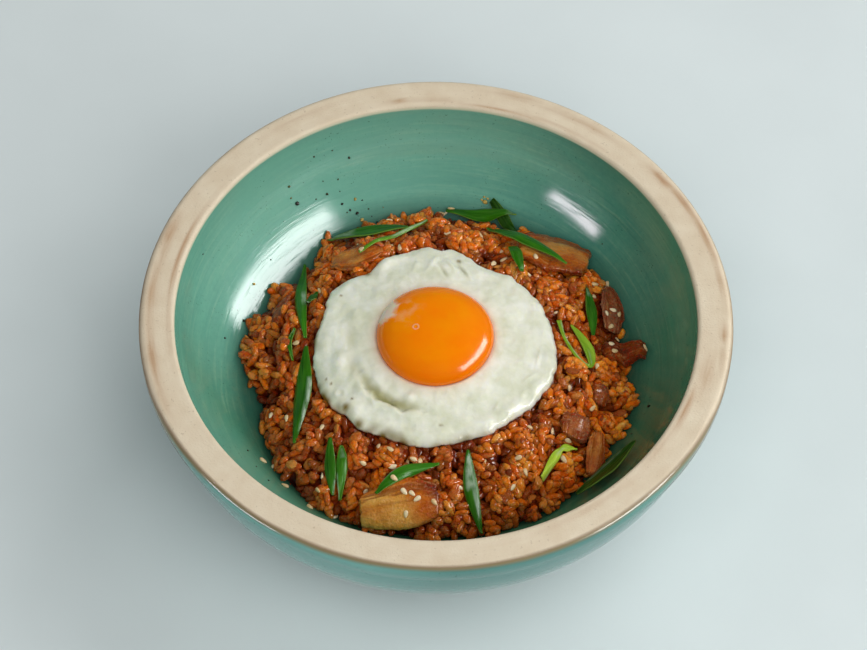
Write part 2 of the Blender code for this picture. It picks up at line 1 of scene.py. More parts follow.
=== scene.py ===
# %% [markdown]
# # A bowl of kimchi fried rice
#
# The real thing is a thick stoneware bowl, glazed sea green inside and out, with a broad rim
# left as bare buff clay. A low heap of rice fried with kimchi lies in it, and on the rice lie a
# fried egg, cut scallion leaves, pieces of kimchi cabbage and sesame seeds.
#
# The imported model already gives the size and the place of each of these. This lesson dresses
# it: every node is replaced by a finer piece that keeps its form, in its own material.

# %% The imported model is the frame
import json
import math
import random

import bpy
import numpy as np
from mathutils import Euler, Matrix, Vector, noise
from mathutils.bvhtree import BVHTree

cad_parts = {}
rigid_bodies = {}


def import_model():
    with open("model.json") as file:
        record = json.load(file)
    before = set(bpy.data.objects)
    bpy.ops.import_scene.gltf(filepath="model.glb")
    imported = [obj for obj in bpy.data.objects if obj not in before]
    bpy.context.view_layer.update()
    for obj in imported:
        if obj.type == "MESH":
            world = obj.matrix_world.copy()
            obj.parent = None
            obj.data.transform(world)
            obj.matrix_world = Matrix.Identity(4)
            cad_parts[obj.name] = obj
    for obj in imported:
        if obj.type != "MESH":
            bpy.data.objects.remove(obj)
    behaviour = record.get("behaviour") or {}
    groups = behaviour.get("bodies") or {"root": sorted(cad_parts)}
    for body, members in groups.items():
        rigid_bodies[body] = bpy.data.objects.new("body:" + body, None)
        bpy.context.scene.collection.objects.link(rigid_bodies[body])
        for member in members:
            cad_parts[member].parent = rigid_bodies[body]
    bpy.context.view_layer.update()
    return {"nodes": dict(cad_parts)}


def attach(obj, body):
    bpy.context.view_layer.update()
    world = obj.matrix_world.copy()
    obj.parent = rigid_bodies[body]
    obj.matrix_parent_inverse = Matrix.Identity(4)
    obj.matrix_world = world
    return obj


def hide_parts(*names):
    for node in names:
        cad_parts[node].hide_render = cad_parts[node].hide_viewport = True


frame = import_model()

MM = 0.001

# %% [markdown]
# ## Small tools that every step uses
#
# An operator acts on all that is selected, and the loaded nodes come in selected. So each new
# piece starts with nothing selected. `finish_piece` then gives the piece its material, hangs it
# on the model's one body and hides the nodes that it replaces.

# %% Tools for numbers
def held(value):
    """A number held between 0 and 1."""
    return min(max(value, 0), 1)


def bell(distance, width):
    """1 in the middle, falling softly to 0 over a width."""
    return math.exp(-(distance / width) ** 2)


def plan_noise(x, y, layer, size):
    """Noise of a size over a place seen from above. Layers a few apart are unlike."""
    return noise.noise(Vector((x, y, layer)) / size)


print(f"a bell is {bell(1, 1):.2f} high at its width")

# %% Tools for pieces
def start_fresh():
    if bpy.context.mode != "OBJECT":
        bpy.ops.object.mode_set(mode="OBJECT")
    bpy.ops.object.select_all(action="DESELECT")


def edit(obj):
    """Opens one object in edit mode with all of it selected."""
    start_fresh()
    obj.select_set(True)
    bpy.context.view_layer.objects.active = obj
    bpy.ops.object.mode_set(mode="EDIT")
    bpy.ops.mesh.select_all(action="SELECT")


def apply_all(obj):
    """Applies every modifier of an object in order."""
    start_fresh()
    obj.select_set(True)
    bpy.context.view_layer.objects.active = obj
    for modifier in list(obj.modifiers):
        bpy.ops.object.modifier_apply(modifier=modifier.name)


def add_values(obj, name, values):
    """A number on every point of a mesh, which a material can read by name."""
    layer = obj.data.attributes.new(name, "FLOAT", "POINT")
    layer.data.foreach_set("value", np.asarray(values, np.float32))


def add_rows(obj, names, rows):
    """Several numbers on every point of a mesh, from one row of them for each point."""
    for name, column in zip(names, np.array(rows).T):
        add_values(obj, name, column)


def finish_piece(obj, material, nodes):
    """Gives a piece its material, hangs it on the model's body and hides the nodes it replaces."""
    start_fresh()
    obj.data.materials.clear()
    obj.data.materials.append(material)
    obj.data.shade_smooth()
    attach(obj, "root")
    if nodes:
        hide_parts(*nodes)
    obj.data.calc_loop_triangles()
    print(f"{obj.name}: {len(obj.data.loop_triangles)} triangles")
    return obj


# %% [markdown]
# Materials are made of nodes. One function adds a node with its settings and links. Colours are
# written as they look on a screen, in sRGB hex, and turned into the linear values that light
# adds up in. A surface is built as a painter would: a ground colour, and coats over it, each
# with the places where it lies and its strength. Spots, a number of the mesh that grows, or a
# direction say where those places are.

# %% Tools for materials
def linear(hex_colour):
    """An sRGB hex colour as linear red, green, blue and alpha."""
    parts = [int(hex_colour[i:i + 2], 16) / 255 for i in (1, 3, 5)]
    return (*[p / 12.92 if p <= 0.04045 else ((p + 0.055) / 1.055) ** 2.4 for p in parts], 1.0)


def add_node(tree, kind, inputs=None, out=None, **settings):
    """Adds a shader node, sets or links its inputs, and gives back one of its outputs."""
    made = tree.nodes.new("ShaderNode" + kind)
    for name, value in settings.items():
        setattr(made, name, value)
    for key, value in (inputs or {}).items():
        socket = made.inputs[key] if isinstance(key, int) else next(
            s for s in made.inputs if key in (s.identifier, s.name))
        if isinstance(value, bpy.types.NodeSocket):
            tree.links.new(value, socket)
        else:
            socket.default_value = value
    return next(s for s in made.outputs if out in (None, s.identifier, s.name))


def start_material(name, labels=(), **shader_values):
    """A material, its tree, its shader, its point in mm, and the mesh's numbers of some names."""
    material = bpy.data.materials.new(name)
    material.use_nodes = True
    tree = material.node_tree
    shader = tree.nodes["Principled BSDF"]
    for key, value in shader_values.items():
        shader.inputs[key.replace("_", " ")].default_value = value
    point = add_node(tree, "TexCoord", out="Object")
    point = add_node(tree, "VectorMath", {0: point, "Scale": 1 / MM}, operation="SCALE")
    numbers = [add_node(tree, "Attribute", out="Fac", attribute_name=label) for label in labels]
    return material, tree, shader, point, *numbers


def coated(tree, colour, *coats):
    """A colour with coats over it, each as (where it lies, how strong it is, its colour)."""
    colour = linear(colour) if isinstance(colour, str) else colour
    for place, strength, coat in coats:
        share = add_node(tree, "Math", {0: place, 1: strength}, operation="MULTIPLY")
        coat = linear(coat) if isinstance(coat, str) else coat
        inputs = {"Factor_Float": share, "A_Color": colour, "B_Color": coat}
        colour = add_node(tree, "Mix", inputs, out="Result_Color", data_type="RGBA")
    return colour


def spotted(tree, point, size_mm, low, high, detail=3.0, rough=0.55, stretch=(1, 1, 1)):
    """Noise with spots of a size in mm, spread from 0 at low to 1 at high."""
    scaled = add_node(tree, "VectorMath", {0: point, 1: stretch}, operation="MULTIPLY")
    value = add_node(tree, "TexNoise", {"Vector": scaled, "Scale": 1 / size_mm,
                                        "Detail": detail, "Roughness": rough}, out="Fac")
    return add_node(tree, "MapRange", {"Value": value, "From Min": low, "From Max": high},
                    out="Result")


def graded(tree, value, colour, *coats):
    """A colour with coats that come in with a value, as (start, end, strength, colour)."""
    for start, end, strength, coat in coats:
        place = add_node(tree, "MapRange", {"Value": value, "From Min": start, "From Max": end},
                         out="Result")
        colour = coated(tree, colour, (place, strength, coat))
    return colour


def sided(tree, point, colour, *coats):
    """A colour with coats on its sides, as (direction, start and end in mm, strength, colour)."""
    for way, *coat in coats:
        side = add_node(tree, "VectorMath", {0: point, 1: way}, operation="DOT_PRODUCT",
                        out="Value")
        colour = graded(tree, side, colour, coat)
    return colour


def dress(tree, shader, colour, *heights):
    """Gives the shader its colour, and bumps of several heights in mm, one on the other."""
    tree.links.new(colour, shader.inputs["Base Color"])
    normal = None
    for height_mm, value in heights:
        inputs = {"Height": value, "Distance": height_mm * MM, "Strength": 1.0}
        if normal:
            inputs["Normal"] = normal
        normal = add_node(tree, "Bump", inputs, out="Normal")
    if normal:
        tree.links.new(normal, shader.inputs["Normal"])


print("tools ready")

# %% [markdown]
# ## The bowl
#
# A bowl is thrown on a wheel, so every cut through its axis is the same. By hand one draws half
# of that cut as a line of points, each extruded from the last, and then spins it round the
# axis. The well is an ellipse, and the body is a fuller curve between ellipse and box. The
# thrower's fingers leave soft rings in the wall, which are in the line itself, because
# a glossy glaze shows them in every reflection.

# %% Sizes and cut of the bowl
RIM_HEIGHT = 72 * MM
RIM_RADIUS = 105 * MM
MOUTH_RADIUS = 92.35 * MM
RIM_INNER_ROUND = 1.5 * MM
RIM_OUTER_ROUND = 2.5 * MM
WELL_DEPTH = 59 * MM
LIP_HEIGHT = 5 * MM
LIP_UNDERCUT = 9 * MM
BODY_RADIUS = 103 * MM
BODY_DEPTH = 71 * MM
BODY_POWER = 2.3
FOOT_RADIUS = 45 * MM
FOOT_WIDTH = 5.5 * MM
FOOT_EDGE = 0.8 * MM
RECESS_HEIGHT = 4 * MM
RING_HEIGHT = 0.06 * MM
RING_SPACING = 3.4 * MM
RIM_STEPS = 8
WELL_STEPS = 90
BODY_STEPS = 48
BOWL_SEGMENTS = 160


def arc(centre_r, centre_z, radius, start, end, steps):
    """Points (r, z) on a circle from one angle to another in degrees."""
    angles = [math.radians(start + (end - start) * i / steps) for i in range(steps + 1)]
    return [(centre_r + radius * math.cos(a), centre_z + radius * math.sin(a)) for a in angles]


def finger_ring(z, fade):
    """How far the wall stands out of its curve at a height, from the thrower's fingers."""
    wave = noise.noise(Vector((z / RING_SPACING, 0.3, 7.1)))
    return RING_HEIGHT * fade * (wave + 0.35 * noise.noise(Vector((3 * z / RING_SPACING, 2, 5))))


def bowl_cut():
    """The half cut, from the middle of the well up over the rim and down to the foot."""
    cut = []
    steepest = math.acos(RIM_INNER_ROUND / WELL_DEPTH)
    for i in range(WELL_STEPS + 1):
        t = steepest * i / WELL_STEPS
        z = RIM_HEIGHT - WELL_DEPTH * math.cos(t)
        fade = min(i / 15, (WELL_STEPS - i) / 6, 1)
        cut.append((MOUTH_RADIUS * math.sin(t) + finger_ring(z, fade), z))
    cut += arc(MOUTH_RADIUS + RIM_INNER_ROUND, RIM_HEIGHT - RIM_INNER_ROUND,
               RIM_INNER_ROUND, 180, 90, 6)[1:]
    start, end = cut[-1][0], RIM_RADIUS - RIM_OUTER_ROUND
    cut += [(start + (end - start) * i / RIM_STEPS, RIM_HEIGHT) for i in range(1, RIM_STEPS)]
    cut += arc(RIM_RADIUS - RIM_OUTER_ROUND, RIM_HEIGHT - RIM_OUTER_ROUND,
               RIM_OUTER_ROUND, 90, 0, 8)
    cut.append((RIM_RADIUS, RIM_HEIGHT - LIP_HEIGHT))
    top = math.asin((LIP_UNDERCUT / BODY_DEPTH) ** (BODY_POWER / 2))
    bottom = math.acos(((FOOT_RADIUS + FOOT_EDGE) / BODY_RADIUS) ** (BODY_POWER / 2))
    for i in range(BODY_STEPS + 1):
        t = top + (bottom - top) * i / BODY_STEPS
        z = RIM_HEIGHT - BODY_DEPTH * math.sin(t) ** (2 / BODY_POWER)
        fade = min(i / 6, (BODY_STEPS - i) / 6, 1)
        cut.append((BODY_RADIUS * math.cos(t) ** (2 / BODY_POWER) - abs(finger_ring(z, fade)), z))
    inside = FOOT_RADIUS - FOOT_WIDTH
    cut += [(FOOT_RADIUS, FOOT_EDGE), (FOOT_RADIUS - FOOT_EDGE, 0), (inside + FOOT_EDGE, 0),
            (inside, FOOT_EDGE), (inside - FOOT_EDGE, RECESS_HEIGHT), (0, RECESS_HEIGHT)]
    return cut


print(f"the cut has {len(bowl_cut())} points")

# %% Spinning the bowl
def spin_cut(name, cut, steps):
    """Draws a cut point by point from the axis, and spins it into a closed solid."""
    start_fresh()
    bpy.ops.mesh.primitive_plane_add(size=MM, location=(0, 0, 0))
    obj = bpy.context.object
    obj.name = name
    bpy.ops.object.mode_set(mode="EDIT")
    bpy.ops.mesh.merge(type="CENTER")
    bpy.ops.transform.translate(value=(cut[0][0], 0, cut[0][1]))
    for (r, z), (next_r, next_z) in zip(cut, cut[1:]):
        bpy.ops.mesh.extrude_region_move(
            TRANSFORM_OT_translate={"value": (next_r - r, 0, next_z - z)})
    bpy.ops.mesh.select_all(action="SELECT")
    bpy.ops.mesh.spin(steps=steps, angle=math.tau, center=(0, 0, 0), axis=(0, 0, 1))
    bpy.ops.mesh.select_all(action="SELECT")
    bpy.ops.mesh.remove_doubles(threshold=0.002 * MM)
    bpy.ops.mesh.normals_make_consistent(inside=False)
    bpy.ops.object.mode_set(mode="OBJECT")
    return obj


bowl = spin_cut("bowl_turned", bowl_cut(), BOWL_SEGMENTS)
print(f"bowl: {len(bowl.data.polygons)} faces")

# %% [markdown]
# The glaze is a copper sea-green one over buff stoneware, fired glossy. It pools darker in the
# throwing rings and breaks to a creamy green on their crests, and it carries a fine dark
# speckle from iron in the clay. The rim was wiped before firing: bare, dry, pale buff clay,
# a cream line where thin glaze begins inside, and a brown line where it ends outside. A wash of
# iron has left brown smears on the rim in a few places. Where they are is a number on the
# bowl's points, from a short list of smears. A second number tells the outside from the well.

# %% Smears of iron wash on the rim
# Bearing in degrees, then radius, half length and half width in mm, and strength.
SMEARS = (
    (161, 101.5, 6, 1.6, 0.9), (166, 100.5, 9, 1.3, 0.55), (176, 101.0, 14, 1.5, 0.6),
    (192, 101.0, 16, 1.4, 0.75), (203, 102.0, 8, 1.0, 0.4), (166, 94.6, 22, 0.7, 0.95),
    (184, 94.4, 14, 0.6, 0.55), (99, 95.6, 3, 1.0, 0.8), (92, 95.4, 12, 0.5, 0.6),
    (76, 93.9, 14, 0.6, 0.7), (60, 94.6, 18, 0.8, 0.4), (74, 101.5, 10, 1.4, 0.5),
    (58, 100.5, 18, 1.2, 0.45), (37, 100.8, 5, 1.5, 1.0), (30, 102.0, 10, 1.2, 0.9),
    (20, 102.3, 12, 1.2, 0.85), (9, 102.0, 7, 1.0, 0.6), (-4, 101.5, 3, 1.2, 0.9),
    (-10, 102.0, 5, 1.0, 0.6), (-14, 98.0, 9, 2.2, 0.45), (-24, 95.2, 9, 1.1, 0.85),
    (-34, 94.5, 8, 0.8, 0.5), (-55, 95.5, 20, 1.2, 0.3), (122, 100.0, 14, 1.5, 0.3),
)


def smear_at(bearing, radius):
    """How much iron wash lies on the rim at a bearing and radius, 0 to 1."""
    most = 0.0
    for centre, middle, length, width, strength in SMEARS:
        turn = (bearing - centre + 180) % 360 - 180
        along = math.radians(turn) * middle / length
        across = (radius - middle) / width
        most = max(most, strength * math.exp(-along * along - across * across))
    return most


WALL_MARGIN = 2 * MM
smears, outer = [], []
for vert in bowl.data.vertices:
    bearing = math.degrees(math.atan2(vert.co.y, vert.co.x))
    on_rim = vert.co.z > RIM_HEIGHT - RIM_INNER_ROUND
    reach = math.hypot(vert.co.x, vert.co.y)
    smears.append(smear_at(bearing, reach / MM) if on_rim else 0.0)
    below = min((RIM_HEIGHT - vert.co.z) / WELL_DEPTH, 1)
    outer.append(float(reach > MOUTH_RADIUS * math.sqrt(1 - below * below) + WALL_MARGIN))
add_values(bowl, "iron", smears)
add_values(bowl, "outer", outer)
print(f"iron wash on {sum(s > 0.3 for s in smears)} of the bowl's points")

# %% Glazed stoneware with a bare rim
# Colours over whole sides of the bowl, each a direction, from and to in mm, strength and colour:
# darker and greener towards the front, paler towards the back and on the front left. The darker
# right side is painted shade, and the paler upper wall on the right is painted light.
GLAZE_SIDES_AND_PAINTED_SHADE = (
    ((0.2, -0.98, 0), -35, 45, 0.7, "#3C6A38"), ((0.5, -0.87, 0), -15, -85, 0.55, "#84BCA6"),
    ((1, 0, 0), 20, 75, 0.35, "#2C5A3E"), ((-0.7, -0.7, 0), 68, 88, 0.6, "#8ACDB8"),
    ((1, 0, 1), 125, 152, 0.45, "#78B890"),
)
# All in mm: where the rim's inner and outer half meet, the height at which the glaze ends
# inside, the radius at which it ends outside in front and behind, and how low it can end there.
RIM_MIDDLE = 98.0
GLAZE_TOP_INSIDE = 70.9
GLAZE_EDGE_FRONT = 103.2
GLAZE_EDGE_BACK = 104.7
GLAZE_TOP_OUTSIDE = 68.0


def ring_point(tree, point, turns, per_mm):
    """Coordinates that change slowly round the bowl and quickly up its wall."""
    parts = tree.nodes.new("ShaderNodeSeparateXYZ")
    tree.links.new(point, parts.inputs[0])
    x, y, z = parts.outputs
    flat = add_node(tree, "CombineXYZ", {0: x, 1: y, 2: 0.0})
    direction = add_node(tree, "VectorMath", {0: flat}, operation="NORMALIZE", out="Vector")
    reach = add_node(tree, "VectorMath", {0: flat}, operation="LENGTH", out="Value")
    rise = add_node(tree, "Math", {0: z, 1: reach}, operation="ADD")
    rise = add_node(tree, "Math", {0: rise, 1: per_mm}, operation="MULTIPLY")
    direction = add_node(tree, "VectorMath", {0: direction, "Scale": turns}, operation="SCALE",
                         out="Vector")
    lift = add_node(tree, "CombineXYZ", {2: rise})
    return add_node(tree, "VectorMath", {0: direction, 1: lift}, operation="ADD"), reach, z


def glazed_stoneware():
    material, tree, shader, point, outer, iron = start_material(
        "sea_green_glaze_on_buff_stoneware", ("outer", "iron"), IOR=1.52)
    slow, reach, z = ring_point(tree, point, 1.2, 0.085)
    close, _, _ = ring_point(tree, point, 3.5, 0.55)
    streaky, _, _ = ring_point(tree, point, 9.0, 1.0)

    # Glaze: broad bands, creamy and dark throwing rings, and fine mottling.
    bands = spotted(tree, slow, 1.0, 0.35, 0.65, detail=3)
    crests = spotted(tree, close, 1.0, 0.54, 0.68, detail=2)
    troughs = spotted(tree, close, 0.9, 0.46, 0.34, detail=3)
    clouds = spotted(tree, point, 18, 0.35, 0.65, detail=4)
    mottle = spotted(tree, point, 2.2, 0.35, 0.65, detail=5, rough=0.75)
    glaze = coated(tree, "#4F9283", (bands, 1, "#63A48F"), (clouds, 0.35, "#5B9A7C"),
                   (crests, 0.28, "#97C0A0"), (troughs, 0.25, "#32766E"),
                   (mottle, 0.4, "#3A8078"))
    # Sides of the bowl: painted shade on the right, painted light high on the right.
    glaze = sided(tree, point, glaze, *GLAZE_SIDES_AND_PAINTED_SHADE)
    # Bluer outside, a painted reflection of the pale sky, and darker inside beside the food, which
    # is painted shade and a painted reflection of the dark rice. Specks of iron lie over all of it,
    # in some places more than in others.
    inner = add_node(tree, "Math", {0: 1.0, 1: outer}, operation="SUBTRACT")
    shade_beside_food = add_node(tree, "MapRange", {"Value": reach, "From Min": 77.5, "From Max": 70,
                                              "To Max": 0.65}, out="Result")
    sparse = spotted(tree, point, 11, 0.45, 0.62, detail=2)
    speckle = spotted(tree, point, 0.75, 0.68, 0.74, detail=1)
    speckle = add_node(tree, "Math", {0: speckle, 1: sparse}, operation="MULTIPLY")
    glaze = coated(tree, glaze, (outer, 0.45, "#6C9EA8"), (shade_beside_food, inner, "#183E30"),
                   (speckle, 0.7, "#1C3D33"))

    # Bare clay: faint wheel lines, iron wash in streaks, dry grit with a few dark grains.
    lines = spotted(tree, streaky, 1.0, 0.3, 0.7, detail=4)
    soft = spotted(tree, point, 9, 0.3, 0.7, detail=3)
    streaks = spotted(tree, streaky, 1.6, 0.25, 0.6, detail=4)
    streaks = add_node(tree, "Math", {0: streaks, 1: 0.7, 2: 0.3}, operation="MULTIPLY_ADD")
    grit = spotted(tree, point, 0.7, 0.35, 0.65, detail=2)
    dots = spotted(tree, point, 1.1, 0.70, 0.76, detail=1)
    clay = coated(tree, "#D6C5AA", (soft, 1, "#E0D3BA"), (lines, 0.25, "#D3BFA0"),
                  (iron, streaks, "#A97B50"), (dots, 0.3, "#8A6A48"))

    # Where the glaze ends: just under the edge inside, and at the rounded edge outside, a
    # little over it in front, both uneven. The number is the distance into the clay in mm.
    wander = spotted(tree, streaky, 3.0, 0.2, 0.8, detail=3)
    outside = add_node(tree, "Math", {0: reach, 1: RIM_MIDDLE}, operation="GREATER_THAN")
    inner_end = add_node(tree, "Math", {0: wander, 1: 0.4, 2: GLAZE_TOP_INSIDE},
                         operation="MULTIPLY_ADD")
    above_inner = add_node(tree, "Math", {0: z, 1: inner_end}, operation="SUBTRACT")
    y = add_node(tree, "VectorMath", {0: point, 1: (0, 1, 0)}, operation="DOT_PRODUCT",
                 out="Value")
    outer_end = add_node(tree, "MapRange", {"Value": y, "From Min": -75, "From Max": -35,
                                            "To Min": GLAZE_EDGE_FRONT,
                                            "To Max": GLAZE_EDGE_BACK}, out="Result")
    outer_end = add_node(tree, "Math", {0: wander, 1: 0.5, 2: outer_end},
                         operation="MULTIPLY_ADD")
    above_outer = add_node(tree, "Math", {0: outer_end, 1: reach}, operation="SUBTRACT")
    on_top = add_node(tree, "Math", {0: z, 1: GLAZE_TOP_OUTSIDE}, operation="SUBTRACT")
    above_outer = add_node(tree, "Math", {0: above_outer, 1: on_top}, operation="MINIMUM")
    above = add_node(tree, "Mix", {"Factor_Float": outside, "A_Float": above_inner,
                                   "B_Float": above_outer},
                     out="Result_Float", data_type="FLOAT")
    bare, thin, dark_edge = [
        add_node(tree, "MapRange", {"Value": above, "From Min": start, "From Max": end},
                 out="Result")
        for start, end in ((-0.10, 0.10), (-1.3, -0.5), (1.1, 0.1))]
    dark_edge = add_node(tree, "Math", {0: dark_edge, 1: outside}, operation="MULTIPLY")
    thin_glaze = coated(tree, "#D6D2B6", (outside, 1, "#8A7D5E"))
    foot = add_node(tree, "Math", {0: z, 1: 1.0}, operation="LESS_THAN")
    bare = add_node(tree, "Math", {0: bare, 1: foot}, operation="MAXIMUM")
    glossy = add_node(tree, "Math", {0: 1.0, 1: bare}, operation="SUBTRACT")
    rings = add_node(tree, "Math", {0: crests, 1: troughs}, operation="SUBTRACT")
    bumps = [(height, add_node(tree, "Math", {0: form, 1: place}, operation="MULTIPLY"))
             for height, form, place in ((0.012, rings, glossy), (0.02, lines, bare),
                                         (0.05, grit, bare))]
    glaze = coated(tree, glaze, (thin, 1, thin_glaze))
    clay = coated(tree, clay, (dark_edge, 0.85, "#7C6244"))
    dress(tree, shader, coated(tree, glaze, (bare, 1, clay)), *bumps)
    rough = add_node(tree, "Mix", {"Factor_Float": bare, "A_Float": 0.11, "B_Float": 0.75},
                     out="Result_Float", data_type="FLOAT")
    tree.links.new(rough, shader.inputs["Roughness"])
    return material


finish_piece(bowl, glazed_stoneware(), ["bowl"])

# %% [markdown]
# ## The shape of the heap
#
# Everything else lies on the rice, so its height is one function of the place seen from above.
# The heap's edge is a table of bearings, read through a smooth closed curve. Its back is nearly
# level and falls away at the shoulder, and soft lumps come from noise.

# %% Heap heights
HEAP_CROWN = 52 * MM
HEAP_SHOULDER = 3.3
HEAP_LUMP = 1.3 * MM
HEAP_LUMP_SPACING = 15 * MM
HEAP_LUMP_FADE = 8
EGG_COVER = (38 * MM, 43 * MM)
EGG_CENTRE = Vector((-0.3 * MM, 1.0 * MM))
HEAP_EDGE = {
    0: 70.0, 14: 70.5, 32: 73.0, 52: 71.0, 74: 69.5, 92: 70.8, 106: 69.3, 122: 71.0, 139: 66.0,
    152: 68.5, 165: 70.5, 176: 71.0, 189: 66.0, 204: 67.5, 221: 72.0, 242: 72.3,
    262: 71.8, 285: 72.0, 310: 72.0, 332: 71.0, 348: 73.5,
}


def between(a, b, c, d, t):
    """A smooth curve from b to c at t, that leaves and arrives along its neighbours."""
    square = a - 2.5 * b + 2 * c - 0.5 * d
    cube = 1.5 * (b - c) + 0.5 * (d - a)
    return b + (c - a) * (0.5 * t) + square * (t * t) + cube * (t * t * t)


def run(values, t):
    """A smooth curve through a list of numbers or points, read at t from 0 to 1."""
    last = len(values) - 1
    i = min(int(t * last), last - 1)
    before, after = values[max(i - 1, 0)], values[min(i + 2, last)]
    return between(before, values[i], values[i + 1], after, t * last - i)


def round_table(table, bearing):
    """A smooth closed curve through a table of bearings in degrees."""
    degrees = math.degrees(bearing)
    keys = sorted(table)
    after = next((i for i, key in enumerate(keys) if key > (degrees - keys[0]) % 360 + keys[0]), 0)
    around = [keys[(after + k) % len(keys)] for k in (-2, -1, 0, 1)]
    t = ((degrees - around[1]) % 360) / ((around[2] - around[1]) % 360)
    return between(*[table[key] for key in around], t)


def well_height(r):
    """The height of the bowl's inside at a radius."""
    if r >= MOUTH_RADIUS:
        return RIM_HEIGHT
    return RIM_HEIGHT - WELL_DEPTH * math.sqrt(1 - (r / MOUTH_RADIUS) ** 2)


def egg_cover(x, y):
    """1 under the egg, 0 where rice shows."""
    reach = (Vector((x, y)) - EGG_CENTRE).length
    return min(max((EGG_COVER[1] - reach) / (EGG_COVER[1] - EGG_COVER[0]), 0.0), 1.0)


def heap_height(x, y):
    """The middle height of the grains that show."""
    r = math.hypot(x, y)
    edge = round_table(HEAP_EDGE, math.atan2(y, x)) * MM
    share = min(r / edge, 1.0)
    lump = plan_noise(x, y, 0, HEAP_LUMP_SPACING) * HEAP_LUMP
    lump *= (1 - egg_cover(x, y)) * (1 - share**HEAP_LUMP_FADE)
    return HEAP_CROWN - (HEAP_CROWN - well_height(edge)) * share**HEAP_SHOULDER + lump


CLUMP_HEIGHT = 4.4 * MM
CLUMP_SIZE = 8.5 * MM
# Where the cells of the pattern are cut, how far they are bent, and how rounded they stand.
CLUMP_SLICE = 13.1
CLUMP_BEND = 0.25
CLUMP_LEVEL = 0.42
CLUMP_ROUND = 1.5
# Round one place at the back right the clumps are this much lower.
CALM_PLACE = Vector((38 * MM, 28 * MM))
CALM_REACH = 20 * MM
CALM_SHARE = 0.55


def clump(x, y):
    """How far a clump of rice stands out of the smooth heap, or a cavity goes into it."""
    place = Vector((x, y, CLUMP_SLICE * CLUMP_SIZE)) / CLUMP_SIZE
    # Not noise_vector, which Blender seeds from the clock.
    bent = Vector([noise.noise(place * 1.7 + Vector((0, 0, 7.3 * i))) for i in (1, 2, 3)])
    nearest = noise.voronoi(place + CLUMP_BEND * bent)[0][0]
    fine = plan_noise(x, y, 0, 0.4 * CLUMP_SIZE)
    calm = (Vector((x, y)) - CALM_PLACE).length_squared / CALM_REACH**2
    height = CLUMP_HEIGHT * (1 - CALM_SHARE * math.exp(-calm))
    return height * (CLUMP_LEVEL - CLUMP_ROUND * nearest**2 + 0.3 * fine) * (1 - egg_cover(x, y))


print(f"heap: {heap_height(0, 0) / MM:.1f} mm high, {heap_height(0, -0.06) / MM:.1f} near its edge")

# %% [markdown]
# ## The mass of rice under the grains
#
# The heap's inside never shows, but between the grains one sees down to a dark, sticky mass of
# rice, sauce and chilli. It is one closed ball whose points are moved: the upper half to just
# under the grains, which lie half sunk in it, and the lower half to just above the bowl. In the
# cavities between the clumps painted shade makes it darker, and a number on its points says
# where they are.

# %% The rice mass
CORE_DROP = 2.4 * MM
CORE_HIGHEST = 0.9 * MM
EGG_BED_GAP = 0.9 * MM
CORE_CLEARANCE = 0.7 * MM
CORE_THINNEST = 3.0 * MM
CORE_RELIEF = 0.5 * MM


def moved_ball(name, segments, rings, place):
    """A ball whose points are moved by place(bearing, share from the middle, under)."""
    start_fresh()
    bpy.ops.mesh.primitive_uv_sphere_add(segments=segments, ring_count=2 * rings, radius=1)
    obj = bpy.context.object
    obj.name = name
    for vert in obj.data.vertices:
        polar = math.acos(max(-1.0, min(1.0, vert.co.z)))
        step = round(polar / math.pi * 2 * rings)
        share = min(step, 2 * rings - step) / rings
        bearing = math.atan2(vert.co.y, vert.co.x) if share else 0.0
        vert.co = place(bearing, share, step > rings)
    obj.data.update()
    return obj


def core_height(x, y):
    cover = egg_cover(x, y)
    grit = noise.fractal(Vector((x, y, 0.2)) / (2.2 * MM), 1.0, 2.0, 3) * CORE_RELIEF
    bare = max(CORE_DROP - clump(x, y) - grit, CORE_HIGHEST)
    return heap_height(x, y) - bare * (1 - cover) - EGG_BED_GAP * cover


def core_place(bearing, share, under):
    edge = round_table(HEAP_EDGE, bearing) * MM - CORE_CLEARANCE - CORE_DROP * 0.6
    r = edge * share
    x, y = r * math.cos(bearing), r * math.sin(bearing)
    low = well_height(r) + CORE_CLEARANCE
    if under or share == 1:
        return (x, y, low)
    return (x, y, max(core_height(x, y), low + CORE_THINNEST * (1 - share)))


def rice_mass_material():
    material, tree, shader, point, cavity = start_material(
        "sticky_rice_and_chilli_sauce", ["cavity"], IOR=1.42, Roughness=0.40,
        Specular_IOR_Level=0.25, Coat_Weight=0.3, Coat_Roughness=0.08)
    bent = spotted(tree, point, 4.0, 0.0, 1.0, detail=1)
    shifted = add_node(tree, "VectorMath", {0: point, 1: bent}, operation="ADD")
    cells = add_node(tree, "TexVoronoi", {"Vector": shifted, "Scale": 1 / 2.6}, out="Distance")
    grainy = add_node(tree, "MapRange", {"Value": cells, "From Min": 0.75, "From Max": 0.1},
                      out="Result")
    sauce = spotted(tree, point, 1.1, 0.35, 0.68, detail=3)
    # Painted shade darkens the cavities between the clumps.
    colour = coated(tree, "#5E0E01", (grainy, 1, "#B24A06"), (sauce, 1, "#861E02"),
                    (cavity, 1, "#260401"))
    dress(tree, shader, colour, (0.9, grainy), (0.3, sauce))
    return material


core = moved_ball("rice_mass", 300, 80, core_place)
cavities = [-clump(v.co.x, v.co.y) / (0.35 * CLUMP_HEIGHT) for v in core.data.vertices]
add_values(core, "cavity", np.clip(cavities, 0, 1))
core_material = rice_mass_material()
print(f"rice mass: {len(core.data.polygons)} faces")

# %% [markdown]
# ## The fried egg
#
# The white of a fried egg sets as a soft sheet: thin and rolled at its edge, thicker towards
# the yolk, with a puffed lip, bubbles, and folds where it was pushed together in the pan. Its
# outline is a table of bearings again. The thickness is a sum of simple parts, each a few
# millimetres wide: a rounded edge, a lip, a long crease below the yolk, crinkles above it, and
# a fine ripple. A height in code is used here because no modifier gives a crease at a place.

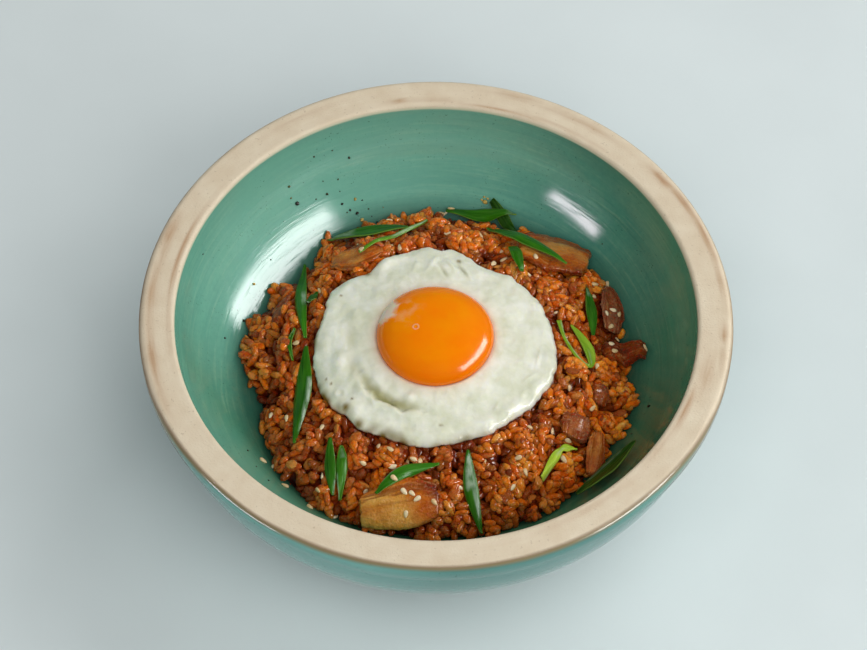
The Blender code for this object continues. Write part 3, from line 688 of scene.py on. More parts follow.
# %% Thickness of the white
YOLK_RADIUS = 20.9 * MM
YOLK_RISE = 8.6 * MM
YOLK_CUP = 2.0 * MM
YOLK_SIDE_GAP = 0.5 * MM
WHITE_EDGE = 2.0
WHITE_COLLAR = 3.6
WHITE_FLOOR = 0.8 * MM
EDGE_ROUND = 1.5
EGG_OUTLINE = {
    -22: 44.5, -2: 43.9, 16: 42.3, 30: 41.8, 45: 40.6, 57: 38.6, 66: 38.2, 75: 41.0,
    83: 42.6, 87: 41.5, 96: 43.3, 107: 42.6, 121: 41.4, 130: 39.8, 137: 43.2, 145: 45.4,
    154: 44.1, 164: 42.2, 174: 42.8, 187: 44.0, 206: 44.9, 217: 45.0, 226: 43.9, 233: 44.5,
    246: 43.1, 258: 43.4, 270: 43.2, 284: 42.2, 298: 42.4, 313: 42.2, 328: 43.4,
}
CREASE = [(-27, -14.5), (-24.5, -20), (-20.1, -24.4), (-15.8, -27.2), (-10.4, -29.2), (-5, -30)]
# Soft humps (+) and hollows (-) of the white: x, y, length, width in mm, turn, height in mm.
HUMPS = (
    (-34.5, -9, 8.5, 4.2, 80, 1.1), (-30.5, 1, 7, 3.2, 95, -0.6), (-29, -11, 6, 3.0, 110, -0.7),
    (-35.5, -25.5, 6.5, 3.6, 130, 0.6), (-9, -25.3, 3.4, 2.6, 20, 1.0),
    (-1.5, 35.5, 4.6, 1.0, 62, 0.8), (2.2, 31, 4.4, 0.9, 115, -0.8), (5.2, 34, 4.5, 0.9, 118, 0.8),
    (9, 32, 4.6, 0.9, 125, -0.8), (11.3, 29.5, 3.6, 1.0, 120, 0.7), (-8, 33, 3.6, 1.2, 70, 0.5),
    (37, -5, 6.5, 0.9, 80, 0.55), (33.5, -14.5, 4.2, 1.0, 40, 0.6), (22, -27, 2.4, 1.0, 70, 0.7),
    (25.5, -28.6, 2.6, 0.9, 10, 0.6), (31, -21.5, 2.6, 1.1, 60, 0.4), (-20, 34, 6, 3, 40, 0.4),
)
PIT = (-33.6, -21.5, 1.7)


def hump(x, y, cx, cy, length, width, turn, height):
    """A soft hump with a length and a width, turned in plan."""
    a = math.radians(turn)
    along = ((x - cx) * math.cos(a) + (y - cy) * math.sin(a)) / length
    across = ((y - cy) * math.cos(a) - (x - cx) * math.sin(a)) / width
    return height * math.exp(-2 * (along * along + across * across))


def beside(x, y, line):
    """Distance to a line of points, negative on its right, and how far along it is, 0 to 1."""
    best = (1e9, 0)
    here = Vector((x, y))
    for i, (start, end) in enumerate(zip(line, line[1:])):
        start, step = Vector(start), Vector(end) - Vector(start)
        t = held((here - start).dot(step) / step.length_squared)
        offset = here - start - step * t
        if offset.length < abs(best[0]):
            side = 1 if step.cross(here - start) > 0 else -1
            best = (side * offset.length, (i + t) / (len(line) - 1))
    return best


def white_thickness(x, y, inset, width):
    """Thickness in mm at a plan point in mm, inset mm from the outline."""
    edge = math.sqrt(max(1 - max(1 - inset / EDGE_ROUND, 0) ** 2, 0))
    body = WHITE_EDGE + (WHITE_COLLAR - WHITE_EDGE) * min(inset / width, 1) ** 1.3
    lip = (0.55 + 0.7 * plan_noise(x, y, 3, 9)) * bell(inset - 3.4, 2.3)
    ripple = (0.4 * plan_noise(x, y, 0, 6) + 0.24 * plan_noise(x, y, 5, 2.8)
              + 0.12 * plan_noise(x, y, 9, 1.6))
    total = body + lip + ripple
    for part in HUMPS:
        total += hump(x, y, *part)
    offset, along = beside(x, y, CREASE)
    offset += 1.3 * plan_noise(x, y, 7, 3.2)
    fade = math.sin(math.pi * min(max(along, 0.04), 0.96)) ** 0.6
    fade *= 1 + 0.7 * plan_noise(x, y, 2, 4)
    total -= 1.9 * fade * bell(offset - 1.0, 1.5)
    total += 1.0 * fade * bell(offset + 1.7, 1.3)
    pit = math.hypot(x - PIT[0], y - PIT[1])
    total += 0.35 * bell(pit - PIT[2], 0.5) - 0.5 * bell(pit, 1.0)
    return max(total, 0.9) * edge


def white_place(bearing, share, under):
    outline = round_table(EGG_OUTLINE, bearing) * MM
    around = Vector((math.cos(bearing), math.sin(bearing), 0))
    outline += (0.8 * noise.noise(around * 8) + 0.5 * noise.noise(around * 21)) * MM
    cup = YOLK_RADIUS + YOLK_SIDE_GAP
    inner = 0.2
    if share < inner:
        r = cup * share / inner
    else:
        r = cup + (outline - cup) * (1 - (1 - (share - inner) / (1 - inner)) ** 1.25)
    x, y = EGG_CENTRE.x + r * math.cos(bearing), EGG_CENTRE.y + r * math.sin(bearing)
    rest = heap_height(x, y) + 0.05 * MM
    inset = (outline - r) / MM
    if under:
        curl = 0.5 * MM * max(1 - inset / EDGE_ROUND, 0) ** 2
        return (x, y, rest + curl)
    if share < inner:
        return (x, y, HEAP_CROWN + WHITE_FLOOR + YOLK_CUP * (r / cup) ** 4)
    curl = 0.5 if share == 1 else 0.0
    thick = white_thickness(x / MM, y / MM, inset, (outline - cup) / MM)
    return (x, y, rest + max(thick, curl) * MM)


white = moved_ball("egg_white_sheet", 288, 52, white_place)
heights = [v.co.z / MM for v in white.data.vertices]
print(f"white: {min(heights):.1f} to {max(heights):.1f} mm high")

# %% [markdown]
# The set white is a cloudy gel: light goes in and comes out again nearby, so the shader has
# subsurface scattering, with a moist skin on top. In its folds and hollows, where it is thin, it
# looks grey green, partly as the thin gel shows what is under it and partly as painted shade.
# Round the yolk it takes a peach glow, which is painted light, and a few spots at its edge are
# browned by the pan. Three attributes on the points carry those places: the hollows, the
# browning and the glow.

# %% Attributes and material of the white
BROWN_EDGE = ((195, 230, 0.9), (232, 262, 1.0), (262, 300, 0.45), (170, 192, 0.5), (118, 136, 0.7))
BROWN_SPOTS = ((-31.5, -27.5, 1.6), (-26.8, -34.2, 1.8), (-25.2, 30.6, 1.2), (-37, -17, 0.5),
               (-38.8, -14.9, 0.4), (-29.3, -24.4, 0.45), (-34.6, 20.7, 0.5), (7.9, 36.2, 0.8),
               (2.4, -35.0, 0.5))


def white_marks(co):
    """How hollow and browned the white is at a point, and how much painted glow from the yolk it
    takes.
    """
    x, y = co.x / MM, co.y / MM
    reach = math.hypot(x - EGG_CENTRE.x / MM, y - EGG_CENTRE.y / MM)
    bearing = math.atan2(y - EGG_CENTRE.y / MM, x - EGG_CENTRE.x / MM)
    inset = round_table(EGG_OUTLINE, bearing) - reach
    offset, along = beside(x, y, CREASE)
    hollow = bell(offset - 1.2, 1.9) * math.sin(math.pi * along) ** 0.5
    for part in HUMPS:
        if part[-1] < 0:
            hollow += -0.55 * hump(x, y, *part)
    degrees = math.degrees(bearing) % 360
    patch = plan_noise(x, y, 4, 3.2) + 0.5
    brown = 0.0
    for start, end, weight in BROWN_EDGE:
        middle, half = (start + end) / 2, (end - start) / 2
        here = max(1 - abs(degrees - middle) / half, 0) ** 0.5
        brown = max(brown, here * weight * math.exp(-max(inset, 0) / 1.5) * max(patch, 0) * 2.2)
    for cx, cy, size in BROWN_SPOTS:
        brown = max(brown, math.exp(-((x - cx) ** 2 + (y - cy) ** 2) / size**2))
    painted_yolk_glow = math.exp(-max(reach - YOLK_RADIUS / MM, 0) / 1.5)
    return min(hollow, 1), min(brown, 1), painted_yolk_glow


def egg_white_material():
    material, tree, shader, point, hollow, painted_yolk_glow, brown = start_material(
        "set_egg_white", ("hollow", "painted_yolk_glow", "brown"), IOR=1.38, Roughness=0.34,
        Subsurface_Weight=0.55, Subsurface_Scale=2.5 * MM, Subsurface_Radius=(1.0, 0.9, 0.6),
        Coat_Weight=0.55, Coat_Roughness=0.12, Coat_IOR=1.36)
    clouds = spotted(tree, point, 7, 0.3, 0.7, detail=3)
    pores = spotted(tree, point, 1.6, 0.3, 0.7, detail=3)
    # Hollows grey green, partly painted shade; a painted glow round the yolk.
    colour = coated(tree, "#DDDFC6", (clouds, 1, "#F4F4E6"), (hollow, 1, "#A8A470"),
                    (painted_yolk_glow, 0.6, "#F2BC98"), (brown, 1, "#7C6624"))
    dress(tree, shader, colour, (0.10, clouds), (0.07, pores))
    return material


add_rows(white, ("hollow", "brown", "painted_yolk_glow"), [white_marks(v.co) for v in white.data.vertices])
finish_piece(white, egg_white_material(), ["egg_white"])

# %% [markdown]
# A yolk fried on one side is a drop in a thin skin: a low dome, fullest near its edge, and
# a little higher on one side. Its colour is a saturated orange that comes from deep inside, so
# it has subsurface scattering too, and the wet skin mirrors the soft box in one streak.

# %% The yolk
CUP_FLOOR = HEAP_CROWN + WHITE_FLOOR + 0.45 * MM
# Plan places in mm of the lobe of white, of the pale film beside it, which is thin white and a
# painted soft reflection, and of the bubble.
WHITE_LOBE = (-19.6, 10.4)
PALE_FILM_AND_REFLECTION = (-12, 8)
BUBBLE = (-7.2, -0.4)
BUBBLE_RADIUS = 1.0


def yolk_place(bearing, share, under):
    share = math.sin(share * math.pi / 2)
    wobble = 1 + 0.006 * math.sin(3 * bearing + 0.6)
    r = (YOLK_RADIUS + 0.15 * MM) * share * wobble
    x, y = EGG_CENTRE.x + r * math.cos(bearing), EGG_CENTRE.y + r * math.sin(bearing)
    if under:
        return (x, y, CUP_FLOOR + YOLK_CUP * share**4)
    dome = (1 - share**2.25) ** 0.52
    dent = 0.10 * plan_noise(x, y, 1, 9 * MM) * (1 - share**4)
    return (x, y, CUP_FLOOR + YOLK_CUP + YOLK_RISE * dome * (0.985 + dent * 0.3))


def yolk_material():
    material, tree, shader, point = start_material(
        "soft_egg_yolk", IOR=1.36, Roughness=0.16, Subsurface_Weight=0.55,
        Subsurface_Scale=4.5 * MM, Subsurface_Radius=(1.0, 0.32, 0.04), Coat_Weight=0.35,
        Coat_Roughness=0.05, Coat_IOR=1.36)
    flat = add_node(tree, "VectorMath", {0: point, 1: (1, 1, 0)}, operation="MULTIPLY")
    from_middle, from_lobe, from_film, from_bubble = [
        add_node(tree, "VectorMath", {0: flat, 1: (*place, 0)}, operation="DISTANCE", out="Value")
        for place in (EGG_CENTRE / MM, WHITE_LOBE, PALE_FILM_AND_REFLECTION, BUBBLE)]
    clouds = spotted(tree, point, 11, 0.35, 0.7, detail=2)
    skin = spotted(tree, point, 6, 0.3, 0.7, detail=2)
    # A thin lobe of white clings over the yolk's left shoulder, with a ring bubble beside it.
    veil = spotted(tree, point, 3.4, 0.45, 0.62, detail=3)
    lobe = add_node(tree, "Math", {0: veil, 1: -1.4, 2: from_lobe}, operation="MULTIPLY_ADD")
    lobe = add_node(tree, "MapRange", {"Value": lobe, "From Min": 6.4, "From Max": 4.2},
                    out="Result")
    # The pale film is thin white and a painted soft reflection of a lamp.
    film = add_node(tree, "MapRange", {"Value": from_film, "From Min": 9.0, "From Max": 4.0,
                                       "To Max": 0.15}, out="Result")
    film = add_node(tree, "Math", {0: veil, 1: film}, operation="MULTIPLY")
    ring = add_node(tree, "Math", {0: from_bubble, 1: BUBBLE_RADIUS}, operation="SUBTRACT")
    ring = add_node(tree, "Math", {0: ring}, operation="ABSOLUTE")
    ring = add_node(tree, "MapRange", {"Value": ring, "From Min": 0.45, "From Max": 0.1,
                                       "To Max": 0.35}, out="Result")
    pale = add_node(tree, "Math", {0: lobe, 1: film}, operation="MAXIMUM")
    pale = add_node(tree, "Math", {0: pale, 1: ring}, operation="MAXIMUM")
    colour = coated(tree, "#FF9400", (clouds, 1, "#FF8600"))
    colour = graded(tree, from_middle, colour, (14, 21, 1, "#F87A00"))
    colour = coated(tree, colour, (pale, 1, "#F0D6C0"))
    dress(tree, shader, colour, (0.05, skin), (0.25, ring))
    return material


yolk = moved_ball("egg_yolk_dome", 128, 28, yolk_place)
finish_piece(yolk, yolk_material(), ["egg_yolk"])

# %% [markdown]
# ## How a strip lies on the heap
#
# Leaves and kimchi are strips: a route seen from above, a width along it, and a height. The
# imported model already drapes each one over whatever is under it, so its own top is read for
# the height and the sideways slope at nine places, and a smooth curve runs through them.

# %% Reading how a node lies
LIE_STATIONS = 9
LIE_MARGIN = 0.07
LIE_SIDE = 0.7
ASIDE_STEP = 0.02


def filled(values):
    """A list with each missing value taken from its nearest neighbour."""
    known = [i for i, value in enumerate(values) if value is not None]
    return [values[min(known, key=lambda k: abs(k - i))] for i in range(len(values))]


class Lie:
    """How a strip lies: the middle line, the way across, and the height of its top."""

    def __init__(self, node, route, widths):
        self.middles = [Vector(point) * MM for point in route]
        self.spans = [width * MM for width in widths]
        graph = bpy.context.evaluated_depsgraph_get()
        tree = BVHTree.FromObject(frame["nodes"][node], graph)
        levels, slopes = [], []
        for i in range(LIE_STATIONS):
            t = LIE_MARGIN + (1 - 2 * LIE_MARGIN) * i / (LIE_STATIONS - 1)
            tops = []
            for side in (-LIE_SIDE, 0.0, LIE_SIDE):
                spot = self.spot(t, side)
                hit = tree.ray_cast(Vector((spot.x, spot.y, RIM_HEIGHT)), Vector((0, 0, -1)))[0]
                tops.append(hit.z if hit else None)
            levels.append(tops[1])
            slopes.append((tops[2] - tops[0]) / (2 * LIE_SIDE) if None not in tops else None)
        self.levels = filled(levels)
        known = any(slope is not None for slope in slopes)
        self.slopes = filled(slopes) if known else [0.0] * LIE_STATIONS

    def width(self, t):
        return run(self.spans, t)

    def aside(self, t):
        ahead = run(self.middles, min(t + ASIDE_STEP, 1)) - run(self.middles, max(t - ASIDE_STEP, 0))
        return Vector((-ahead.y, ahead.x)).normalized()

    def spot(self, t, side):
        return run(self.middles, t) + self.aside(t) * side * self.width(t) / 2

    def top(self, t, side):
        at = held((t - LIE_MARGIN) / (1 - 2 * LIE_MARGIN))
        return run(self.levels, at) + run(self.slopes, at) * side


# %% [markdown]
# ## Scallion leaves
#
# The green leaf of a scallion is a tube. Cut on the slant it falls open into long pointed
# strips, with fine veins along them, a paler cut edge, and sometimes the pale inner skin
# showing. A grid of faces is laid along the route, lifted into a soft fold with a wave, and
# given its thickness by Solidify, as one would do with a strip of cloth. The numbers across
# and along stay on its points, so that the veins follow the leaf round its bends.

# %% Routes and looks of the leaves
LEAF_THICKNESS = 0.5 * MM
LEAF_GRID = (40, 8)
LEAF_VALUES = ("across", "along", "tone", "pale", "rim")
# name: route in mm, widths in mm, tone 0 dark to 1 yellow green, fold in mm, wave in mm, and
# pale patches, of inner skin and of painted sheen, as (along from, to, across from, to, strength).
LEAVES = {
    "back_dark": (((20, 73), (25, 66.5), (30, 59)), (2, 4, 1), 0.05, 0.3, 0.1, ()),
    "back_wall": (((3, 70.1), (16, 68.4), (29.3, 67.2)), (1.2, 4.4, 0.6), 0.36, 0.5, 0.2,
                  ((0.80, 1.0, -1, 1, 0.25),)),
    "back_left": (((-41, 56), (-27, 56.2), (-11, 57.2)), (0.6, 6.2, 1.2), 0.26, -0.5, 0.2,
                  ((0.03, 0.40, -0.6, 1.0, 0.35),)),
    "back_thread": (((-28.7, 40.9), (-16.3, 50.9), (-4, 61.6)), (0.8, 1.8, 0.8), 0.62, 0.5, 0.0,
                    ((0.45, 1.0, -0.4, 0.4, 0.5),)),
    "back_short": (((27.5, 44.5), (29, 39.5), (31, 32.5)), (3.4, 4.2, 1.2), 0.42, 0.4, 0.1, ()),
    "back_bright": (((18.5, 59), (32.5, 48), (47.3, 37)), (1.6, 5.8, 0.6), 0.43, 0.7, 0.2,
                    ((0.1, 0.75, 0.84, 1.1, 0.8),)),
    "left_far": (((-49, 46), (-49.5, 25), (-47, 4)), (0.8, 4.2, 1), 0.40, 0.5, 0.3,
                 ((0.42, 0.62, 0.1, 1.0, 0.45),)),
    "left_branch": (((-51, 9.1), (-52.7, 3), (-51.2, -3.7)), (0.8, 1.6, 0.6), 0.45, -0.3, 0.1, ()),
    "left_bit": (((-47, 20.5), (-45, 23.5), (-43.5, 26.5)), (0.8, 2.4, 0.8), 0.1, 0.2, 0.0, ()),
    "left_wide": (((-46.5, 0.5), (-47, -17), (-49.5, -37)), (1.2, 6, 0.8), 0.30, 0.9, 0.2,
                  ((0.35, 0.86, 0.45, 1.1, 0.95),)),
    "pair_under": (((-36.6, -37.7), (-36.3, -47.4), (-35.2, -57)), (1, 3.9, 0.8), 0.30, 0.5, 0.2,
                   ((0.7, 1.0, 0.6, 1.1, 0.5),)),
    "pair_over": (((-32.6, -40.9), (-32.2, -47.5), (-32.6, -58.9)), (1, 3.9, 0.8), 0.52, 0.6, 0.4,
                  ((0.6, 1.0, -1.1, -0.6, 0.5), (0.1, 0.4, -0.3, 0.6, 0.25))),
    "front_curved": (((-20, -61), (-11, -53), (2, -48)), (1, 4.4, 0.8), 0.45, 0.6, 0.2,
                     ((0.2, 0.6, 0.75, 1.1, 0.5),)),
    "front_long": (((12, -43), (13.2, -55.5), (17.2, -70)), (0.8, 5, 0.8), 0.28, 0.6, 0.3,
                   ((0.12, 0.55, -0.6, 0.8, 0.55), (0.5, 0.82, 0.1, 0.9, 0.4))),
    "right_twisted": (((38.2, -49.8), (44.9, -38.5), (50.7, -37.1)), (1, 3.6, 1), 1.00, 0.7, 0.3,
                      ((0.35, 0.6, -0.4, 0.3, 0.6), (0.0, 0.3, -1.0, -0.5, 0.5))),
    "right_wall": (((50.3, -55), (61, -46.5), (71, -36)), (0.8, 5.8, 0.8), 0.0, -0.6, 0.1,
                   ((0.2, 0.8, 0.6, 1.0, 0.15),)),
    "right_upright": (((55, 32), (56.5, 21.5), (57, 10.5)), (0.8, 4, 1), 0.28, 0.4, 0.2,
                      ((0.0, 0.25, -0.6, 0.6, 0.3),)),
    "right_open": (((44.4, 13.5), (46.5, 6), (51.5, -2.2), (55.8, -4), (55, 4), (48.8, 13)),
                   (1.8, 1.1, 1.2, 1.6, 4.2, 0.8), 0.78, -0.5, 0.1,
                   ((0.0, 0.6, 0.3, 1.1, 0.4), (0.6, 0.8, -0.2, 0.5, 0.25))),
}


PATCH_BORDER = (0.06, 0.15)
# The one leaf that is twisted: where along it, how long the waist is, how much narrower, and
# how far its edges roll.
TWISTED = "right_twisted"
TWIST_PLACE = 0.52
TWIST_LENGTH = 0.10
TWIST_WAIST = 0.55
TWIST_ROLL = 1.1 * MM


def in_patch(along, across, patch):
    """How far a point is inside a patch, with soft borders."""
    start, end, low, high, strength = patch
    long, broad = PATCH_BORDER
    inside = min((along - start) / long, (end - along) / long,
                 (across - low) / broad, (high - across) / broad)
    return strength * held(inside)


def leaf(name):
    """Lays one leaf along its route, with the numbers that its material reads."""
    route, widths, tone, fold, wave, patches = LEAVES[name]
    lie = Lie("scallion_" + name, route, widths)
    long, broad = LEAF_GRID
    start_fresh()
    bpy.ops.mesh.primitive_grid_add(x_subdivisions=long, y_subdivisions=broad, size=1)
    obj = bpy.context.object
    obj.name = "leaf_" + name
    length = sum((b - a).length for a, b in zip(lie.middles, lie.middles[1:])) / MM
    rows = []
    twist = name == TWISTED
    for vert in obj.data.vertices:
        t, side = vert.co.x + 0.5, vert.co.y * 2
        shift = wave * MM * math.sin(math.tau * 1.3 * t + 2 * side + 7 * tone)
        waist = TWIST_WAIST * bell(t - TWIST_PLACE, TWIST_LENGTH)
        narrow = 1 - waist if twist else 1
        spot = lie.spot(t, side * narrow)
        share = min(lie.width(t) / max(lie.spans), 1)
        arch = fold * MM * (0.5 - abs(side) ** 1.6) * share
        roll = TWIST_ROLL * side * math.cos(math.pi * t * 1.1) if twist else 0
        z = lie.top(t, side) - LEAF_THICKNESS / 2 + arch + shift + roll
        pale = max([in_patch(t, side, patch) for patch in patches], default=0)
        rows.append((side * lie.width(t) / 2 / MM, t * length, tone, pale, abs(side)))
        vert.co = (spot.x, spot.y, z)
    add_rows(obj, LEAF_VALUES, rows)
    if obj.data.polygons[0].normal.z < 0:
        obj.data.flip_normals()
    solid = obj.modifiers.new("thickness", "SOLIDIFY")
    solid.thickness = LEAF_THICKNESS
    solid.offset = 0
    apply_all(obj)
    return obj


print(f"{len(LEAVES)} leaves")

# %% [markdown]
# A leaf is green from tiny grains deep in it, under a clear waxy skin that gives a soft gloss.
# Veins half a millimetre apart run along it. The material reads the leaf's own numbers: across
# and along in mm for the veins, then its tone, the pale patches, which are the inner skin and a
# painted sheen, and the cut rim.

# %% Leaf material
def leaf_material():
    material, tree, shader, _, across, along, tone, pale, rim = start_material(
        "waxy_scallion_leaf", LEAF_VALUES, IOR=1.42, Roughness=0.34, Specular_IOR_Level=0.25,
        Subsurface_Weight=0.1, Subsurface_Scale=0.6 * MM, Subsurface_Radius=(0.4, 1.0, 0.1),
        Coat_Weight=0.15, Coat_Roughness=0.1)
    place = add_node(tree, "CombineXYZ", {0: across, 1: along, 2: tone})
    veins = spotted(tree, place, 0.5, 0.35, 0.65, detail=2, stretch=(1, 0.05, 9))
    broad = spotted(tree, place, 2.6, 0.35, 0.68, detail=3, stretch=(1, 0.25, 9))
    skin = spotted(tree, place, 1.2, 0.3, 0.55, detail=3, stretch=(1, 0.3, 9))
    dark, middle, bright = [
        coated(tree, first, (broad, 1, second)) for first, second in
        (("#081E01", "#123A02"), ("#1E5A04", "#2E7806"), ("#94BC1A", "#BCD644"))]
    colour = graded(tree, tone, dark, (0, 0.5, 1, middle), (0.5, 1, 1, bright))
    # Pale patches: the inner skin, and a painted sheen.
    colour = coated(tree, colour, (veins, 0.22, "#629A34"), (pale, skin, "#BCCDB8"))
    colour = graded(tree, rim, colour, (0.86, 1, 0.4, "#94AE4C"))
    dress(tree, shader, colour, (0.06, veins), (0.12, broad))
    return material


scallion_leaf = leaf_material()
for name in LEAVES:
    finish_piece(leaf(name), scallion_leaf, ["scallion_" + name])

# %% [markdown]
# ## Kimchi
#
# Kimchi is salted cabbage in chilli paste. Its thick stems are translucent, ribbed lengthwise
# and stained orange, and its leaf edges are thin, frilled and dark red. Each piece is a ball
# whose poles are the two ends, so its ends close by themselves. Ribs, frills and dents are in
# the mesh. Numbers on its points say how stained and how grey it is, where its ribs stand up,
# and how far across and along each point lies, which the fibres follow.

# %% Routes and looks of the kimchi
KIMCHI_MESH = (64, 72)
# name: route and widths in mm, thickness in mm, then looks: ribs across, slant of the ribs,
# rib and frill heights in mm, stain at the start and the end, grey, and the stain that the
# front edge adds.
KIMCHI = {
    "front_stem": (((-25.5, -64.5), (-18, -64), (-7, -62.5), (2.2, -61.8)),
                   (9.5, 13, 15.5, 11), 4.6,
                   (9.0, 2.6, 0.5, 0.3, 0.16, 0.95, 0.0, -0.1)),
    "back_stem": (((30, 46.5), (42, 46), (55.5, 42.5)), (12, 23, 15), 4.4,
                  (5.0, -1.6, 0.7, 1.4, 0.3, 0.45, 0.0, 0.25)),
    "right_ribbed": (((50.8, -25), (50.4, -29.5), (49, -34)), (9, 11, 8), 2.6,
                     (12.0, 0.6, 0.5, 0.3, 0.75, 0.8, 0.3, 0.0)),
    "right_stem": (((58, -31.5), (57.3, -38), (56, -45.5)), (4, 6.5, 4.5), 3.0,
                   (9.0, 0.4, 0.8, 0.2, 0.4, 0.7, 0.3, 0.0)),
    "right_leaf": (((62.5, 35.5), (64.5, 26), (64, 15)), (4, 8.5, 6), 1.4,
                   (9.0, 0.2, 1.0, 0.6, 0.9, 1.0, 0.45, 0.0)),
    "back_sheet": (((-39, 42), (-30, 40.5), (-20, 43)), (7, 12, 5), 2.0,
                   (5.0, 1.0, 0.5, 0.5, 0.35, 0.6, 0.0, 0.0)),
    "right_point": (((60.5, 4.5), (68, 6.5), (76.5, 6.5)), (6, 9.5, 7), 3.4,
                    (4.0, 1.0, 0.6, 0.7, 0.95, 0.85, 0.05, 0.0)),
    "right_small": (((58.5, -12), (59.5, -15.5), (58.5, -19.5)), (4, 6, 4), 2.0,
                    (4.0, 0.0, 0.3, 0.3, 0.8, 0.85, 0.2, 0.0)),
    "left_strip": (((-58.7, 13.7), (-56.8, 21), (-53.8, 27.5)), (2.5, 4.2, 2), 1.6,
                   (3.0, 0.0, 0.3, 0.2, 0.9, 1.0, 0.05, 0.0)),
}


KIMCHI_VALUES = ("stain", "grey", "ridge", "across", "along")
# The fibres' pattern is drawn out lengthwise: it is only this many mm long over a whole piece.
KIMCHI_FIBRES = 3.0
# Pieces over this many mm thick are stems: rounder, less ragged and less sunk at their sides.
STEM_THICKNESS = 3
STEM_SHAPE = (0.62, 0.07)
LEAFY_SHAPE = (0.4, 0.14)
LEAFY_SINK = 2.2
STEM_SINK = 0.14


def rounded(value, power):
    """A cosine or sine pushed out towards -1 and 1, which squares a circle's corners."""
    return math.copysign(abs(value) ** power, value)


def kimchi(name):
    """Shapes one piece of kimchi from a ball laid along its route."""
    route, widths, thickness, look = KIMCHI[name]
    ribs, slant, rib, frill, stain_start, stain_end, grey, front_stain = look
    stem = thickness > STEM_THICKNESS
    square, rag = STEM_SHAPE if stem else LEAFY_SHAPE
    sunk = STEM_SINK * thickness if stem else LEAFY_SINK
    lie = Lie("kimchi_" + name, route, widths)
    around, along = KIMCHI_MESH
    start_fresh()
    bpy.ops.mesh.primitive_uv_sphere_add(segments=around, ring_count=along, radius=1)
    obj = bpy.context.object
    obj.name = "kimchi_piece_" + name
    own = len(name) * 3.7
    rows = []
    for vert in obj.data.vertices:
        polar = math.acos(max(-1.0, min(1.0, vert.co.z)))
        t = 0.5 - 0.5 * math.cos(polar)
        turn = math.atan2(vert.co.y, vert.co.x)
        end = (1 - abs(2 * t - 1) ** 16) ** 0.5
        side = rounded(math.cos(turn), square) * end
        lift = rounded(math.sin(turn), square) * end
        wobble = noise.noise(Vector((4 * t, side * 1.2, own)))
        ragged = noise.noise(Vector((13 * t, math.copysign(2, side), own)))
        shove = 0.09 * noise.noise(Vector((side * 2.5, own, 3))) * abs(2 * t - 1)
        spot = lie.spot(held(t + shove), side * (1 + 0.10 * wobble + rag * ragged))
        line = noise.noise(Vector((side * ribs + slant * t, t * 1.1, own)))
        ridge = held(0.5 + 1.8 * line)
        upper = max(lift, 0) ** 0.5
        ribbed = held((side + 0.2) / 0.3) if front_stain else 1
        z = lie.top(t, side) + (lift - 1) * thickness / 2 * MM
        z -= rib * MM * (1 - ridge) * upper * ribbed
        frilled = noise.noise(Vector((t * 9, 1.5 * math.copysign(1, side), own)))
        z += frill * MM * frilled * abs(side) ** 3
        z += 0.3 * MM * plan_noise(spot.x, spot.y, 0, 2.2 * MM) * upper
        crumpled = plan_noise(spot.x, spot.y, 1, 1.5 * MM)
        z += 0.5 * frill * MM * crumpled * max(side - 0.3, 0) * upper
        z -= sunk * MM * max(abs(side) - 0.5, 0) ** 2 * upper
        late = max(t - 0.58, 0) / 0.42
        stain = stain_start + (stain_end - stain_start) * late
        stain += 0.35 * abs(side) ** 5 * (frill > 0.4) + 0.35 * wobble
        stain += 0.4 * max(side - 0.2, 0) + front_stain * max(-side - 0.2, 0)
        across = side * 0.5 * max(widths)
        rows.append((held(stain), grey, ridge * ribbed + 1 - ribbed, across, t * KIMCHI_FIBRES))
        vert.co = (spot.x, spot.y, z)
    add_rows(obj, KIMCHI_VALUES, rows)
    edit(obj)
    bpy.ops.mesh.normals_make_consistent(inside=False)
    bpy.ops.object.mode_set(mode="OBJECT")
    return obj


# %% [markdown]
# The stem of salted cabbage is clear and pale, and light goes several millimetres into it.
# Chilli paste stains it from cream through orange to dark red, most in the hollows between
# ribs, and the wet surface glitters. Fine red grains of chilli stick to it.

# %% Kimchi material
def kimchi_material():
    material, tree, shader, point, stain, grey, ridge, across, along = start_material(
        "chilli_stained_cabbage", KIMCHI_VALUES, IOR=1.40, Roughness=0.32,
        Specular_IOR_Level=0.3, Subsurface_Weight=0.35, Subsurface_Scale=2.0 * MM,
        Subsurface_Radius=(1.0, 0.5, 0.2), Coat_Weight=0.5, Coat_Roughness=0.05)
    clouds = spotted(tree, point, 3.5, 0.3, 0.7, detail=4)
    fine = spotted(tree, point, 1.0, 0.3, 0.7, detail=3)
    pale, orange, dark = [
        coated(tree, first, (clouds, 1, second)) for first, second in
        (("#D08A2C", "#E4AE5A"), ("#B4500A", "#CE7418"), ("#440C02", "#7C2804"))]
    colour = graded(tree, stain, pale, (0.1, 0.5, 1, orange), (0.5, 1, 1, dark))
    colour = graded(tree, ridge, colour, (0.6, 0.1, 0.7, "#843E0C"))
    # Pale fibres, half a millimetre wide, run the length of a stem.
    fibres = add_node(tree, "CombineXYZ", {0: across, 1: along, 2: 0.0})
    fibres = spotted(tree, fibres, 0.8, 0.52, 0.68, detail=3)
    # Grains of chilli stick most where the stain is strong.
    chilli_share = add_node(tree, "MapRange", {"Value": stain, "From Min": 0.1, "To Max": 0.8},
                            out="Result")
    grains = spotted(tree, point, 0.9, 0.54, 0.64, detail=2)
    grains = add_node(tree, "Math", {0: grains, 1: chilli_share}, operation="MULTIPLY")
    colour = coated(tree, colour, (grey, ridge, "#A67C5C"), (fibres, 0.4, "#CC9A64"),
                    (grains, 1, "#A82A08"))
    dress(tree, shader, colour, (0.28, fine), (0.2, grains))
    return material


cabbage = kimchi_material()
for name in KIMCHI:
    finish_piece(kimchi(name), cabbage, ["kimchi_" + name])

